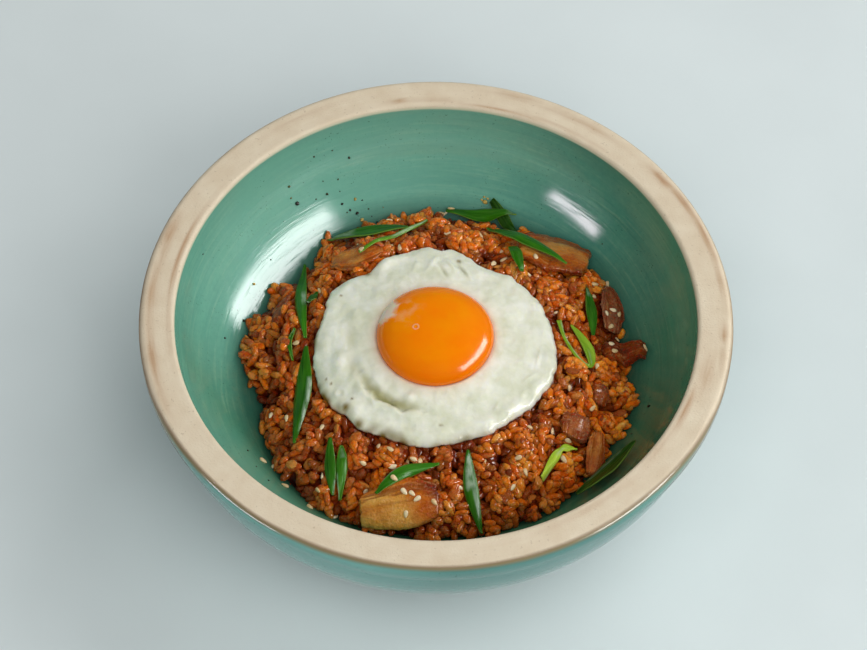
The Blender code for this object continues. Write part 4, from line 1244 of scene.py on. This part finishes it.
# %% [markdown]
# ## Grains of rice
#
# Short-grain rice, cooked, is about 6 mm long and 2.7 mm thick, plump and a little bent, and
# much of it breaks in the pan. A dozen grains are modelled, whole and broken: a ball turned on
# its side, scaled to the size of a grain, dented, then bent, tapered and twisted by Simple
# Deform. Each has only 70 triangles, because there will be many hundreds of them.

# %% A dozen grains
GRAIN_SIZE = Vector((6.8, 3.0, 2.7)) * MM
GRAIN_LENGTHS = (0.62, 1.05)
GRAIN_SPREAD = 0.12
GRAIN_KINDS = 12
GRAIN_DENTS = 0.25 * MM
rng = random.Random(7)


def deformed(obj, method, axis, amount):
    modifier = obj.modifiers.new(method, "SIMPLE_DEFORM")
    modifier.deform_method = method
    modifier.deform_axis = axis
    if method in ("BEND", "TWIST"):
        modifier.angle = amount
    else:
        modifier.factor = amount


def small_ball(name, size, segments, rings, bluntness, dents=0.0, seed=0):
    """A ball with its poles along X, made blunter by Cast, then scaled and dented."""
    start_fresh()
    bpy.ops.mesh.primitive_uv_sphere_add(segments=segments, ring_count=rings, radius=0.5)
    obj = bpy.context.object
    obj.name = name
    blunt = obj.modifiers.new("blunt", "CAST")
    blunt.cast_type = "CUBOID"
    blunt.factor = bluntness
    apply_all(obj)
    bpy.ops.object.mode_set(mode="EDIT")
    bpy.ops.mesh.select_all(action="SELECT")
    bpy.ops.transform.rotate(value=math.pi / 2, orient_axis="Y", center_override=(0, 0, 0))
    bpy.ops.transform.resize(value=size, center_override=(0, 0, 0))
    if dents:
        bpy.ops.transform.vertex_random(offset=dents, seed=seed)
    bpy.ops.object.mode_set(mode="OBJECT")
    return obj


def taken_mesh(obj):
    """The points and faces of an object, which is then removed."""
    apply_all(obj)
    points = np.array([v.co for v in obj.data.vertices])
    faces = [tuple(p.vertices) for p in obj.data.polygons]
    bpy.data.objects.remove(obj)
    return points - (points.max(0) + points.min(0)) / 2, faces


grain_kinds = []
for i in range(GRAIN_KINDS):
    size = [s * rng.uniform(1 - GRAIN_SPREAD, 1 + GRAIN_SPREAD) for s in GRAIN_SIZE]
    size[0] = GRAIN_SIZE.x * rng.uniform(*GRAIN_LENGTHS)
    grain = small_ball(f"grain_{i}", size, 7, 6, rng.uniform(0.1, 0.4), GRAIN_DENTS, i)
    deformed(grain, "TAPER", "X", rng.uniform(-0.4, 0.4))
    deformed(grain, "BEND", "Z", math.radians(rng.uniform(8, 34)))
    deformed(grain, "TWIST", "X", math.radians(rng.uniform(-20, 20)))
    grain_kinds.append(taken_mesh(grain))
print(f"{GRAIN_KINDS} kinds of grain, {len(grain_kinds[0][0])} points each")

# %% [markdown]
# Real rice is poured, and each grain comes to rest on the grains below it. The same is done
# here: a grain is three balls in a row. Over a random place each ball is let down until it
# meets the rice mass, the bowl or an earlier grain, and the grain tilts to lie on what holds it.
# A grain that would stand higher than the heap, or run into a topping, is not placed. How high
# the heap may grow follows the clumps and cavities of the rice mass.

# %% Pouring the grains
BALL = 1.05 * MM
BALL_OFFSET = 1.5 * MM
STICK = 0.62
GRAIN_SINK = 0.5 * BALL
GRAIN_PLAY = 0.3 * MM
GRAIN_INSET = 0.8 * MM
CELL = 2.6 * MM
# How far from the egg and the leaves a ball stays, and how far off a topping is looked for.
TOPPING_CLEARANCE = 1.1 * BALL
TOPPING_SEARCH = 2.6 * BALL
TOPPING_MARGIN = 3 * BALL
GRAINS_FROM = 39 * MM
GRAIN_STRAY = 2.2 * MM
STEEPEST = math.tan(math.radians(50))
ATTEMPTS = 40000
GRAIN_LIMIT = 2800
MAP_STEP = 1.0 * MM
MAP_HALF = 80

heap_map = np.array([[heap_height(i * MAP_STEP, j * MAP_STEP)
                      for j in range(-MAP_HALF, MAP_HALF + 1)]
                     for i in range(-MAP_HALF, MAP_HALF + 1)])


def heap_at(x, y):
    """The heap's height, read from a map with a step of 1 mm."""
    u, v = x / MAP_STEP + MAP_HALF, y / MAP_STEP + MAP_HALF
    i, j = int(u), int(v)
    a, b = u - i, v - j
    rows = heap_map[i:i + 2, j:j + 2]
    return ((1 - a) * ((1 - b) * rows[0, 0] + b * rows[0, 1])
            + a * ((1 - b) * rows[1, 0] + b * rows[1, 1]))


def ball_floor(x, y):
    """How low a ball's middle can lie on the rice mass or the bowl."""
    r = math.hypot(x, y)
    deep, wide = WELL_DEPTH - BALL, MOUTH_RADIUS - BALL
    on_bowl = RIM_HEIGHT - deep * math.sqrt(max(1 - (r / wide) ** 2, 0))
    cover = egg_cover(x, y)
    drop = max(CORE_DROP - clump(x, y), CORE_HIGHEST) * (1 - cover) + EGG_BED_GAP * cover
    return max(on_bowl, heap_at(x, y) - drop + BALL - GRAIN_SINK)


lying = {}


def rest_of(x, y):
    """How low a ball's middle can lie over a plan point, with the grains already there."""
    low = ball_floor(x, y)
    reach = 2 * BALL * STICK
    i, j = int(x // CELL), int(y // CELL)
    for di in (-1, 0, 1):
        for dj in (-1, 0, 1):
            for cx, cy, cz in lying.get((i + di, j + dj), ()):
                apart = (cx - x) ** 2 + (cy - y) ** 2
                if apart < reach * reach:
                    low = max(low, cz + math.sqrt(reach * reach - apart))
    return low


def tree_of(objects):
    """One search tree for several objects, with its faces in the same order in every run."""
    graph = bpy.context.evaluated_depsgraph_get()
    points, faces = [], []
    for obj in objects:
        mesh = obj.evaluated_get(graph).to_mesh()
        start = len(points)
        points += [v.co.copy() for v in mesh.vertices]
        for polygon in mesh.polygons:
            corners = [start + k for k in polygon.vertices]
            first = corners.index(min(corners))
            faces.append(corners[first:] + corners[:first])
    return BVHTree.FromPolygons(points, sorted(faces))


toppings = [obj for obj in bpy.data.objects
            if obj.name.startswith(("leaf_", "kimchi_piece_", "egg_white_sheet"))]
topping_trees = [tree_of([obj]) for obj in toppings]
topping_nears = [0.0 if obj.name.startswith("kimchi") else TOPPING_CLEARANCE for obj in toppings]
boxes = [np.array([obj.matrix_world @ Vector(c) for c in obj.bound_box]) for obj in toppings]
boxes = [(box.min(0) - TOPPING_MARGIN, box.max(0) + TOPPING_MARGIN) for box in boxes]


def is_free(centre):
    """Whether a ball is clear of every topping, and not on top of a leaf or the egg."""
    for tree, near, (low, high) in zip(topping_trees, topping_nears, boxes):
        if not all(low[k] < centre[k] < high[k] for k in range(3)):
            continue
        hit, normal, _, distance = tree.find_nearest(centre, TOPPING_SEARCH)
        over = near and hit and centre.z > hit.z
        if hit and (over or (centre - hit).dot(normal) < 0 or distance < near):
            return False
    return True


poured = []
for attempt in range(ATTEMPTS):
    bearing = rng.uniform(0, math.tau)
    edge = round_table(HEAP_EDGE, bearing) * MM
    outer = edge + (GRAIN_STRAY * rng.random() ** 2 if rng.random() < 0.5 else -GRAIN_INSET)
    r = math.sqrt(rng.uniform(GRAINS_FROM**2, outer**2))
    x, y = r * math.cos(bearing), r * math.sin(bearing)
    yaw = rng.uniform(0, math.tau)
    ahead = Vector((math.cos(yaw), math.sin(yaw)))
    back, middle, front = [rest_of(x + ahead.x * s, y + ahead.y * s)
                           for s in (-BALL_OFFSET, 0, BALL_OFFSET)]
    level = (back + front) / 2
    lean = (front - back) / 2
    if middle > level:
        level = middle
        lean = min(max(lean, front - middle), middle - back) if front < back else \
            max(min(lean, middle - back), front - middle)
    if abs(lean) > STEEPEST * BALL_OFFSET:
        continue
    if level > heap_at(x, y) + clump(x, y) + GRAIN_PLAY:
        continue
    balls = [Vector((x + ahead.x * s, y + ahead.y * s, level + lean * s / BALL_OFFSET))
             for s in (-BALL_OFFSET, 0, BALL_OFFSET)]
    if not all(is_free(ball) for ball in balls):
        continue
    for ball in balls:
        lying.setdefault((int(ball.x // CELL), int(ball.y // CELL)), []).append(tuple(ball))
    poured.append((balls, yaw, lean))
    if len(poured) == GRAIN_LIMIT:
        break
print(f"{len(poured)} grains lie after {attempt + 1} tries")

# %% [markdown]
# All grains are one mesh. Each point carries three numbers: the grain's own tint, how deep the
# grain lies in the heap, and how near the point is to a neighbouring grain. Deep grains and
# narrow gaps are darker, partly from red sauce and partly as painted shade.

# %% One mesh of all grains
def joined_mesh(name, copies):
    """One object from many (points, faces) pairs."""
    points, faces, start = [], [], 0
    for own_points, own_faces in copies:
        points.append(own_points)
        faces += [tuple(start + k for k in face) for face in own_faces]
        start += len(own_points)
    mesh = bpy.data.meshes.new(name)
    mesh.from_pydata(np.concatenate(points).tolist(), [], faces)
    obj = bpy.data.objects.new(name, mesh)
    bpy.context.scene.collection.objects.link(obj)
    return obj


DEPTH_DARK = 4.0 * MM
GAP_REACH = 0.5 * MM
GRAIN_SCALES = (0.86, 1.1)
grains, tints, depths, gaps = [], [], [], []
for balls, yaw, lean in poured:
    points, faces = grain_kinds[rng.randrange(GRAIN_KINDS)]
    pitch = -math.atan2(lean, BALL_OFFSET)
    turn = Euler((rng.uniform(0, math.tau), pitch, yaw)).to_matrix()
    scale = rng.uniform(*GRAIN_SCALES)
    placed = points * scale @ np.array(turn).T + np.array(balls[1])
    grains.append((placed, faces))
    i, j = int(balls[1].x // CELL), int(balls[1].y // CELL)
    own = [tuple(ball) for ball in balls]
    near = [centre for di in range(-2, 3) for dj in range(-2, 3)
            for centre in lying.get((i + di, j + dj), ()) if centre not in own]
    if near:
        apart = np.linalg.norm(placed[:, None] - np.array(near)[None], axis=2).min(1) - BALL
    else:
        apart = np.full(len(placed), BALL)
    gaps.append(np.exp(-np.maximum(apart, 0) / GAP_REACH))
    tints.append(np.full(len(placed), rng.random()))
    below = (heap_at(balls[1].x, balls[1].y) + CLUMP_HEIGHT / 2 - balls[1].z) / DEPTH_DARK
    depths.append(np.full(len(placed), held(below)))

rice = joined_mesh("rice_grains", grains)
for name, values in (("tint", tints), ("depth", depths), ("gap", gaps)):
    add_values(rice, name, np.concatenate(values))
print(f"depth {np.concatenate(depths).mean():.2f}, gap {np.concatenate(gaps).mean():.2f} on average")

# %% [markdown]
# Fried rice is translucent starch with a skin of oil, coloured by chilli and soy. Some grains
# are still nearly cream, most are amber, and the deep ones are red brown, partly from sauce and
# partly as painted shade. Light scatters about a millimetre into a grain, and the oil gives small
# sharp highlights.

# %% Rice material
def rice_material():
    material, tree, shader, point, tint, depth, gap = start_material(
        "oily_chilli_fried_rice", ("tint", "depth", "gap"), IOR=1.42, Roughness=0.42,
        Specular_IOR_Level=0.2, Subsurface_Weight=0.5, Subsurface_Scale=1.4 * MM,
        Subsurface_Radius=(1.0, 0.35, 0.06), Coat_Weight=0.6, Coat_Roughness=0.04, Coat_IOR=1.6)
    # From red orange through amber to pale amber, grain by grain.
    colour = graded(tree, tint, "#E0620A", (0, 0.55, 1, "#FC860C"), (0.65, 1, 1, "#FFA638"))
    # Inside a grain: a paler starchy heart here and there, and darker, soaked stretches.
    hearts = spotted(tree, point, 2.0, 0.50, 0.68, detail=3, rough=0.65)
    soaked = spotted(tree, point, 2.2, 0.53, 0.66, detail=3, rough=0.6)
    colour = coated(tree, colour, (hearts, 0.7, "#FFC078"), (soaked, 0.5, "#B03A02"))
    # Chilli oil has run through the heap in patches. Painted shade makes the heap darker towards
    # the left and at its foot in front.
    patches = spotted(tree, point, 11, 0.45, 0.62, detail=3)
    colour = coated(tree, colour, (patches, 0.3, "#C04004"))
    colour = sided(tree, point, colour, ((0.85, 0.5, 0), 35, -60, 0.36, "#8E3604"),
                   ((0.35, -0.94, 0), 58, 74, 0.5, "#6A2203"))
    # Sauce and painted shade darken the grains deep in the heap and the narrow gaps between grains.
    colour = graded(tree, depth, colour, (0.35, 1, 0.9, "#540A01"))
    colour = graded(tree, gap, colour, (0.45, 1, 0.68, "#7E1A01"))
    fine = spotted(tree, point, 0.7, 0.3, 0.7, detail=3)
    dress(tree, shader, colour, (0.32, fine), (0.15, soaked))
    return material


finish_piece(core, core_material, ["rice"])
finish_piece(rice, rice_material(), ["rice"])

# %% [markdown]
# ## Sesame, chilli and pepper
#
# Roasted sesame seeds are flat drops 3 mm long, scattered over all the food. One seed is
# modelled as the grains were, and a copy is laid wherever a list says. The height is found by
# looking straight down on what is there, and the seed lies flat on it. Flakes of chilli and
# cracked pepper are small crooked chips: an icosphere, pressed flat and made uneven.

# %% Laying small things on what is below
everything = tree_of([bowl, core, white, yolk, rice] + toppings)
only_toppings = tree_of([white, yolk] + toppings)
LOOK_AROUND = 0.9 * MM
STEEPEST_GROUND = 0.25
DOWN = Vector((0, 0, -1))


def ground(x, y):
    """The highest point over a plan place, and the way the ground faces around it."""
    hits = []
    for dx, dy in ((0, 0), (1, 0), (-1, 0), (0, 1), (0, -1)):
        start = Vector((x + dx * LOOK_AROUND, y + dy * LOOK_AROUND, RIM_HEIGHT))
        hits.append(everything.ray_cast(start, DOWN)[0])
    if any(hit is None for hit in hits):
        return None, None
    face = (hits[1] - hits[2]).cross(hits[3] - hits[4]).normalized()
    return hits[0], face


def laid(kind, x, y, size, lift, rng):
    """A copy of a small shape, turned at random and laid on the ground."""
    points, faces = kind
    spot, face = ground(x, y)
    if spot is None or face.z < STEEPEST_GROUND:
        return None
    spin = Matrix.Rotation(rng.uniform(0, math.tau), 3, "Z")
    turn = face.to_track_quat("Z", "Y").to_matrix() @ spin
    return points * size @ np.array(turn).T + np.array(spot + face * lift), faces


print("ground ready")

# %% [markdown]
# Between the grains lie small scraps of the chopped kimchi. They are thin crooked shards in
# four shapes, half sunk in the rice, and they take the material of the large pieces.

# %% Scraps of kimchi in the rice
SCRAP_KINDS = 4
SCRAPS = 100
SCRAP_SIZES = (2.6, 5.6)
BARE_FROM = 42 * MM
rng = random.Random(5)


def shard(index, subdivisions, thin):
    """A crooked shard one unit across: an icosphere pressed flat and made uneven."""
    start_fresh()
    bpy.ops.mesh.primitive_ico_sphere_add(subdivisions=subdivisions, radius=0.5)
    obj = bpy.context.object
    edit(obj)
    bpy.ops.transform.vertex_random(offset=0.16 / subdivisions, seed=index)
    bpy.ops.transform.resize(value=(1, rng.uniform(0.5, 0.9), thin), center_override=(0, 0, 0))
    bpy.ops.object.mode_set(mode="OBJECT")
    return obj


def scattered(kinds, count, sizes, lift):
    """Copies of small shapes laid at random on the bare rice, clear of every topping."""
    copies = []
    while len(copies) < count:
        bearing = rng.uniform(0, math.tau)
        r = math.sqrt(rng.uniform(BARE_FROM**2, (round_table(HEAP_EDGE, bearing) * MM) ** 2))
        x, y = r * math.cos(bearing), r * math.sin(bearing)
        size = rng.uniform(*sizes) * MM
        around = [(x + dx * size, y + dy * size)
                  for dx, dy in ((0, 0), (0.6, 0), (-0.6, 0), (0, 0.6), (0, -0.6))]
        if any(only_toppings.ray_cast(Vector((u, v, RIM_HEIGHT)), DOWN)[0] for u, v in around):
            continue
        made = laid(kinds[rng.randrange(len(kinds))], x, y, size, lift, rng)
        if made:
            copies.append(made)
    return copies


scrap_kinds = []
for i in range(SCRAP_KINDS):
    scrap = shard(i + 21, 2, 0.3)
    deformed(scrap, "BEND", "Z", math.radians(rng.uniform(30, 70)))
    scrap_kinds.append(taken_mesh(scrap))
copies = scattered(scrap_kinds, SCRAPS, SCRAP_SIZES, -0.2 * MM)
scraps = joined_mesh("kimchi_scraps", copies)
stains = [np.full(len(points), rng.uniform(0.3, 1.0)) for points, faces in copies]
add_values(scraps, "stain", np.concatenate(stains))
for name, value in (("grey", 0.1), ("ridge", 1.0), ("across", 0.0), ("along", 0.0)):
    add_values(scraps, name, np.full(len(scraps.data.vertices), value))
finish_piece(scraps, cabbage, ["rice"])
everything = tree_of([bowl, core, white, yolk, rice, scraps] + toppings)

# %% Sesame seeds
SEED_SIZE = Vector((2.9, 1.7, 0.95)) * MM
SEED_SCALES = (0.88, 1.1)
SEED_LIFT = 0.3 * MM
# Plan places in mm.
SEEDS = (
    (-58.5, -22.4), (-52.5, -26.2), (-39.7, -32.9), (-60.6, -40.6), (-57, -42), (-38.9, -49.6),
    (-52.4, -50.8), (-40.2, -55.8), (-43.2, -59.6), (-34.3, -62.3), (-19.3, -42), (-15.4, -44),
    (-14.2, -49.6), (-13.7, -55.6), (-23.9, -56.2), (-24.8, -48.2), (-9, -47.2), (-7.2, -47.3),
    (-4.8, -47), (18, -45.8), (9.4, -55.6), (32.2, -49.2), (27.7, -55.4), (41.7, -31.4),
    (33.5, -33.2), (29.7, -44.8), (-6.7, -54.6), (-10.1, -59.6), (-7.3, -60.3), (-5.5, -62.1),
    (-9.3, -66.9), (0.5, -63.2), (56.2, -21.4), (47.5, -34.3), (46.1, -42.3), (58, 34.9),
    (57.4, 29.1), (64.5, 24.5), (62.1, 21.9), (66.8, 23.9), (66.1, 14.5), (63.6, 7.9),
    (64.7, 4.8), (75.7, 6.6), (44.1, 17.5), (63.5, 16.5), (58.2, -3.3), (47.8, -14.6),
    (62.9, 38), (3.8, 53.2), (15.7, 53.2), (10.2, 66.2), (1.1, 70.7), (3, 70.7), (4.9, 70.7),
    (39.8, 59.8), (33.6, 33.8), (23.8, 46.1), (24.5, 40.2), (20.4, 37.3), (35.9, 39.6),
    (43.7, 17.4), (-29.3, 47.5), (-27.6, 41.8), (-17.1, 46.1), (-13.7, 44.5), (-15.7, 49.2),
    (-18.2, 64), (-42.6, 27.5), (-50.3, 2.7),
)
rng = random.Random(11)
seed = small_ball("seed", SEED_SIZE, 8, 7, 0.05)
deformed(seed, "TAPER", "X", 0.65)
seed_shape = taken_mesh(seed)
copies, tints = [], []
for x, y in SEEDS:
    made = laid(seed_shape, x * MM, y * MM, rng.uniform(*SEED_SCALES), SEED_LIFT, rng)
    if made:
        copies.append(made)
        tints.append(np.full(len(made[0]), rng.random()))
seeds = joined_mesh("sesame_seeds", copies)
add_values(seeds, "tint", np.concatenate(tints))
print(f"{len(copies)} seeds")


def sesame_material():
    material, tree, shader, point, tint = start_material(
        "roasted_sesame_hull", ["tint"], IOR=1.45, Roughness=0.42, Subsurface_Weight=0.2,
        Subsurface_Scale=0.8 * MM, Subsurface_Radius=(1.0, 0.7, 0.4))
    stripes = spotted(tree, point, 0.7, 0.35, 0.7, detail=3)
    colour = coated(tree, "#D8B884", (tint, 1, "#F4E2BE"), (stripes, 0.3, "#C09A66"))
    dress(tree, shader, colour, (0.05, stripes))
    return material


finish_piece(seeds, sesame_material(), ["rice"])

# %% Chips of chilli and pepper
CHIP_KINDS = 5
CHILLI_CHIPS = 220
CHIP_SIZES = (0.4, 1.1)

chips = [taken_mesh(shard(i + 1, 1, 0.32)) for i in range(CHIP_KINDS)]
chilli = joined_mesh("chilli_flakes", scattered(chips, CHILLI_CHIPS, CHIP_SIZES, 0))


def chilli_material():
    material, tree, shader, point = start_material("wet_red_chilli_flakes", IOR=1.45,
                                                   Roughness=0.25, Coat_Weight=0.4)
    spots = spotted(tree, point, 2.5, 0.3, 0.7, detail=2)
    fine = spotted(tree, point, 0.4, 0.3, 0.7, detail=2)
    dress(tree, shader, coated(tree, "#8E1C04", (spots, 1, "#D24A12")), (0.04, fine))
    return material


finish_piece(chilli, chilli_material(), ["rice"])

# %% [markdown]
# Cracked pepper, dark herb crumbs and a few golden crumbs of sesame stuck to the bowl's wall
# while it was filled. Each is on a list with its place and its size.

# %% Crumbs on the bowl's wall
# x, y and size in mm, and 0 dark, 0.5 greenish or 1 golden.
CRUMBS = (
    (-52.4, 65, 2.1, 0), (-41.5, 70.9, 1.3, 0.2), (-35.9, 69.6, 1.2, 0), (-30.3, 68.1, 1.7, 0),
    (-32.9, 68.5, 1.1, 0), (-54.6, 65.5, 1.1, 0.6), (-45.5, 68.4, 0.9, 0.2), (-28.5, 72.1, 0.9, 0),
    (-31.1, 71.9, 1.5, 0.8), (-22.8, 66.6, 0.9, 0), (-28.4, 66.4, 1.8, 1), (-70.3, 19.3, 1.7, 0),
    (-67.3, 34.3, 1.5, 0.9), (-76.6, 9.1, 1.0, 0), (76.7, -18, 1.4, 0), (-39.7, 80.8, 0.9, 0.2),
    (-33.5, 81.3, 1.2, 0.1), (-46.3, 77.4, 1.0, 0.2), (-37.5, 75.6, 0.9, 0.4),
    (-55.3, 67.9, 1.3, 0.5), (-84.8, 31.6, 0.8, 0), (17.6, 73.6, 2.2, 1), (16.4, 74.2, 1.4, 1),
    (18.6, 74.4, 1.3, 1), (17.2, 75.0, 1.1, 0.9), (-34.0, 67.6, 0.8, 0.3), (-36.8, 72.8, 0.7, 0.1),
    (-26.1, 70.0, 0.8, 0.2), (-43.0, 73.6, 0.7, 0.3), (-24.8, 68.0, 0.7, 0), (-61.5, 45.0, 0.8, 0.1),
    (-66.0, -38.2, 1.0, 0.1), (-62.6, -45.4, 0.8, 0), (-58.0, -51.0, 1.0, 0.1),
    (68.0, -36.0, 0.9, 0), (70.5, -28.0, 0.8, 0.1), (61.0, 52.0, 0.8, 0.2), (-20.6, 71.2, 0.7, 0.6),
)
copies, kinds = [], []
for x, y, size, kind in CRUMBS:
    made = laid(chips[rng.randrange(CHIP_KINDS)], x * MM, y * MM, size * MM, 0.12 * size * MM, rng)
    if made:
        copies.append(made)
        kinds.append(np.full(len(made[0]), kind))
crumbs = joined_mesh("pepper_and_crumbs", copies)
add_values(crumbs, "kind", np.concatenate(kinds))


def crumb_material():
    material, tree, shader, point, kind = start_material(
        "cracked_pepper_and_crumbs", ["kind"], IOR=1.45, Roughness=0.5)
    spots = spotted(tree, point, 0.6, 0.3, 0.7, detail=2)
    colour = graded(tree, kind, "#171A12", (0, 0.5, 1, "#4A5220"), (0.5, 1, 1, "#D9B45C"))
    colour = coated(tree, colour, (spots, 0.35, "#2A2012"))
    dress(tree, shader, colour, (0.05, spots))
    return material


finish_piece(crumbs, crumb_material(), [])

# %% [markdown]
# ## Floor, light and camera
#
# The bowl stands on a plain pale surface in a plain studio. Two soft lights show in the glaze
# as long streaks: a broad soft box low on the right, which the yolk mirrors too, and a narrow
# strip in front on the left. These two and a pale wall at the right are only mirrored. What
# lights the scene is the soft box's spread, a window at the back right, a reflector on each
# side, the ceiling and a faint even sky, and none of them but the sky is mirrored.

# %% Floor
def pale_floor_material():
    material, tree, shader, point = start_material("matt_pale_table_top", Roughness=0.9,
                                                   Specular_IOR_Level=0.2)
    mottle = spotted(tree, point, 60, 0.3, 0.7, detail=2)
    dress(tree, shader, coated(tree, "#D9E2E2", (mottle, 1, "#DDE6E6")))
    return material


start_fresh()
bpy.ops.mesh.primitive_plane_add(size=6, location=(0, 0, 0))
floor = bpy.context.object
floor.name = "floor"
floor.data.materials.append(pale_floor_material())

# %% Lights
def soft_box(name, bearing, rise, distance, width, height, roll, power):
    """A rectangular lamp seen from the bowl at a bearing and a rise, rolled about its own axis."""
    a, b = math.radians(bearing), math.radians(rise)
    lamp = bpy.data.lights.new(name, "AREA")
    lamp.shape = "RECTANGLE"
    lamp.size = width
    lamp.size_y = height
    lamp.energy = power
    obj = bpy.data.objects.new(name, lamp)
    bpy.context.scene.collection.objects.link(obj)
    out = Vector((math.cos(b) * math.cos(a), math.cos(b) * math.sin(a), math.sin(b)))
    obj.location = out * distance + Vector((0, 0, 0.05))
    turn = out.to_track_quat("Z", "Y").to_matrix() @ Matrix.Rotation(math.radians(roll), 3, "Z")
    obj.rotation_euler = turn.to_euler()
    return obj


# name, bearing, rise, distance, width, height, roll, watts, and whether it lights, is mirrored,
# and is for the bowl alone.
LAMPS = (
    ("soft_box_right", -5, 30, 1.1, 1.15, 0.28, -19, 12.3, False, True, False),
    ("soft_box_right_edge", -5, 30, 1.12, 1.30, 0.42, -19, 5.4, False, True, False),
    ("soft_box_right_spread", -10, 27, 1.6, 1.2, 1.2, 0, 3.6, True, False, False),
    ("strip_front_left", -150, 19, 1.2, 0.48, 0.15, 0, 2.9, False, True, True),
    ("strip_front_left_edge", -150, 19, 1.22, 0.56, 0.27, 0, 1.6, False, True, True),
    ("pale_wall_right", -5, 20, 1.9, 2.6, 1.8, 0, 8.0, False, True, True),
    ("window_back_right", 40, 35, 1.6, 1.5, 1.5, 0, 15.6, True, False, False),
    ("reflector_front_right", -45, 35, 1.6, 1.2, 1.2, 0, 9.6, True, False, False),
    ("reflector_left", 180, 28, 1.6, 1.2, 1.2, 0, 4.0, True, False, False),
    ("ceiling_over_camera", -90, 58, 1.6, 1.2, 1.2, 0, 10.4, True, False, False),
)
# The green glaze shows through the streak, so the strip is tinted against it.
STRIP_TINT = (1.0, 0.86, 0.95)
SKY_COLOUR = "#DDE6EA"
SKY_STRENGTH = 0.06
lit_alone = bpy.data.collections.new("bowl_alone")
lit_alone.objects.link(bowl)
for *values, lights, mirrored, bowl_alone in LAMPS:
    lamp = soft_box(*values)
    lamp.visible_diffuse = lights
    lamp.visible_glossy = mirrored
    if values[0].startswith("strip"):
        lamp.data.color = STRIP_TINT
    if bowl_alone:
        lamp.light_linking.receiver_collection = lit_alone
world = bpy.data.worlds.new("even_studio_fill")
bpy.context.scene.world = world
world.use_nodes = True
sky = world.node_tree.nodes["Background"]
sky.inputs["Color"].default_value = linear(SKY_COLOUR)
sky.inputs["Strength"].default_value = SKY_STRENGTH
bpy.context.scene.view_settings.view_transform = "Standard"

# %% [markdown]
# The camera looks down at about 56 degrees from 1.1 m, through a long lens, and is rolled by one
# degree. Its place was found by fitting the two circles of the bowl's rim.

# %% Camera
VIEW_RISE = math.radians(55.9)
VIEW_ROLL = math.radians(1.05)
VIEW_DISTANCE = 1100 * MM
FOCAL_PIXELS = 3117.5
IMAGE_WIDTH = 867
SENSOR_WIDTH = 36
# How far the middle of the picture lies off the middle of the rim, to the right and up.
VIEW_SHIFT = (-0.92 * MM, -4.5 * MM)

forward = Vector((0, math.cos(VIEW_RISE), -math.sin(VIEW_RISE)))
up = Vector((0, math.sin(VIEW_RISE), math.cos(VIEW_RISE)))
right = Vector((1, 0, 0))
place = Vector((0, 0, RIM_HEIGHT)) - forward * VIEW_DISTANCE
place += right * VIEW_SHIFT[0] + up * VIEW_SHIFT[1]
rolled_right = right * math.cos(VIEW_ROLL) + up * math.sin(VIEW_ROLL)
rolled_up = up * math.cos(VIEW_ROLL) - right * math.sin(VIEW_ROLL)
lens = bpy.data.cameras.new("camera")
lens.sensor_width = SENSOR_WIDTH
lens.lens = FOCAL_PIXELS * SENSOR_WIDTH / IMAGE_WIDTH
camera = bpy.data.objects.new("camera", lens)
bpy.context.scene.collection.objects.link(camera)
camera.matrix_world = Matrix.Translation(place) @ Matrix(
    (rolled_right, rolled_up, -forward)).transposed().to_4x4()
bpy.context.scene.camera = camera
print(f"lens {lens.lens:.1f} mm")
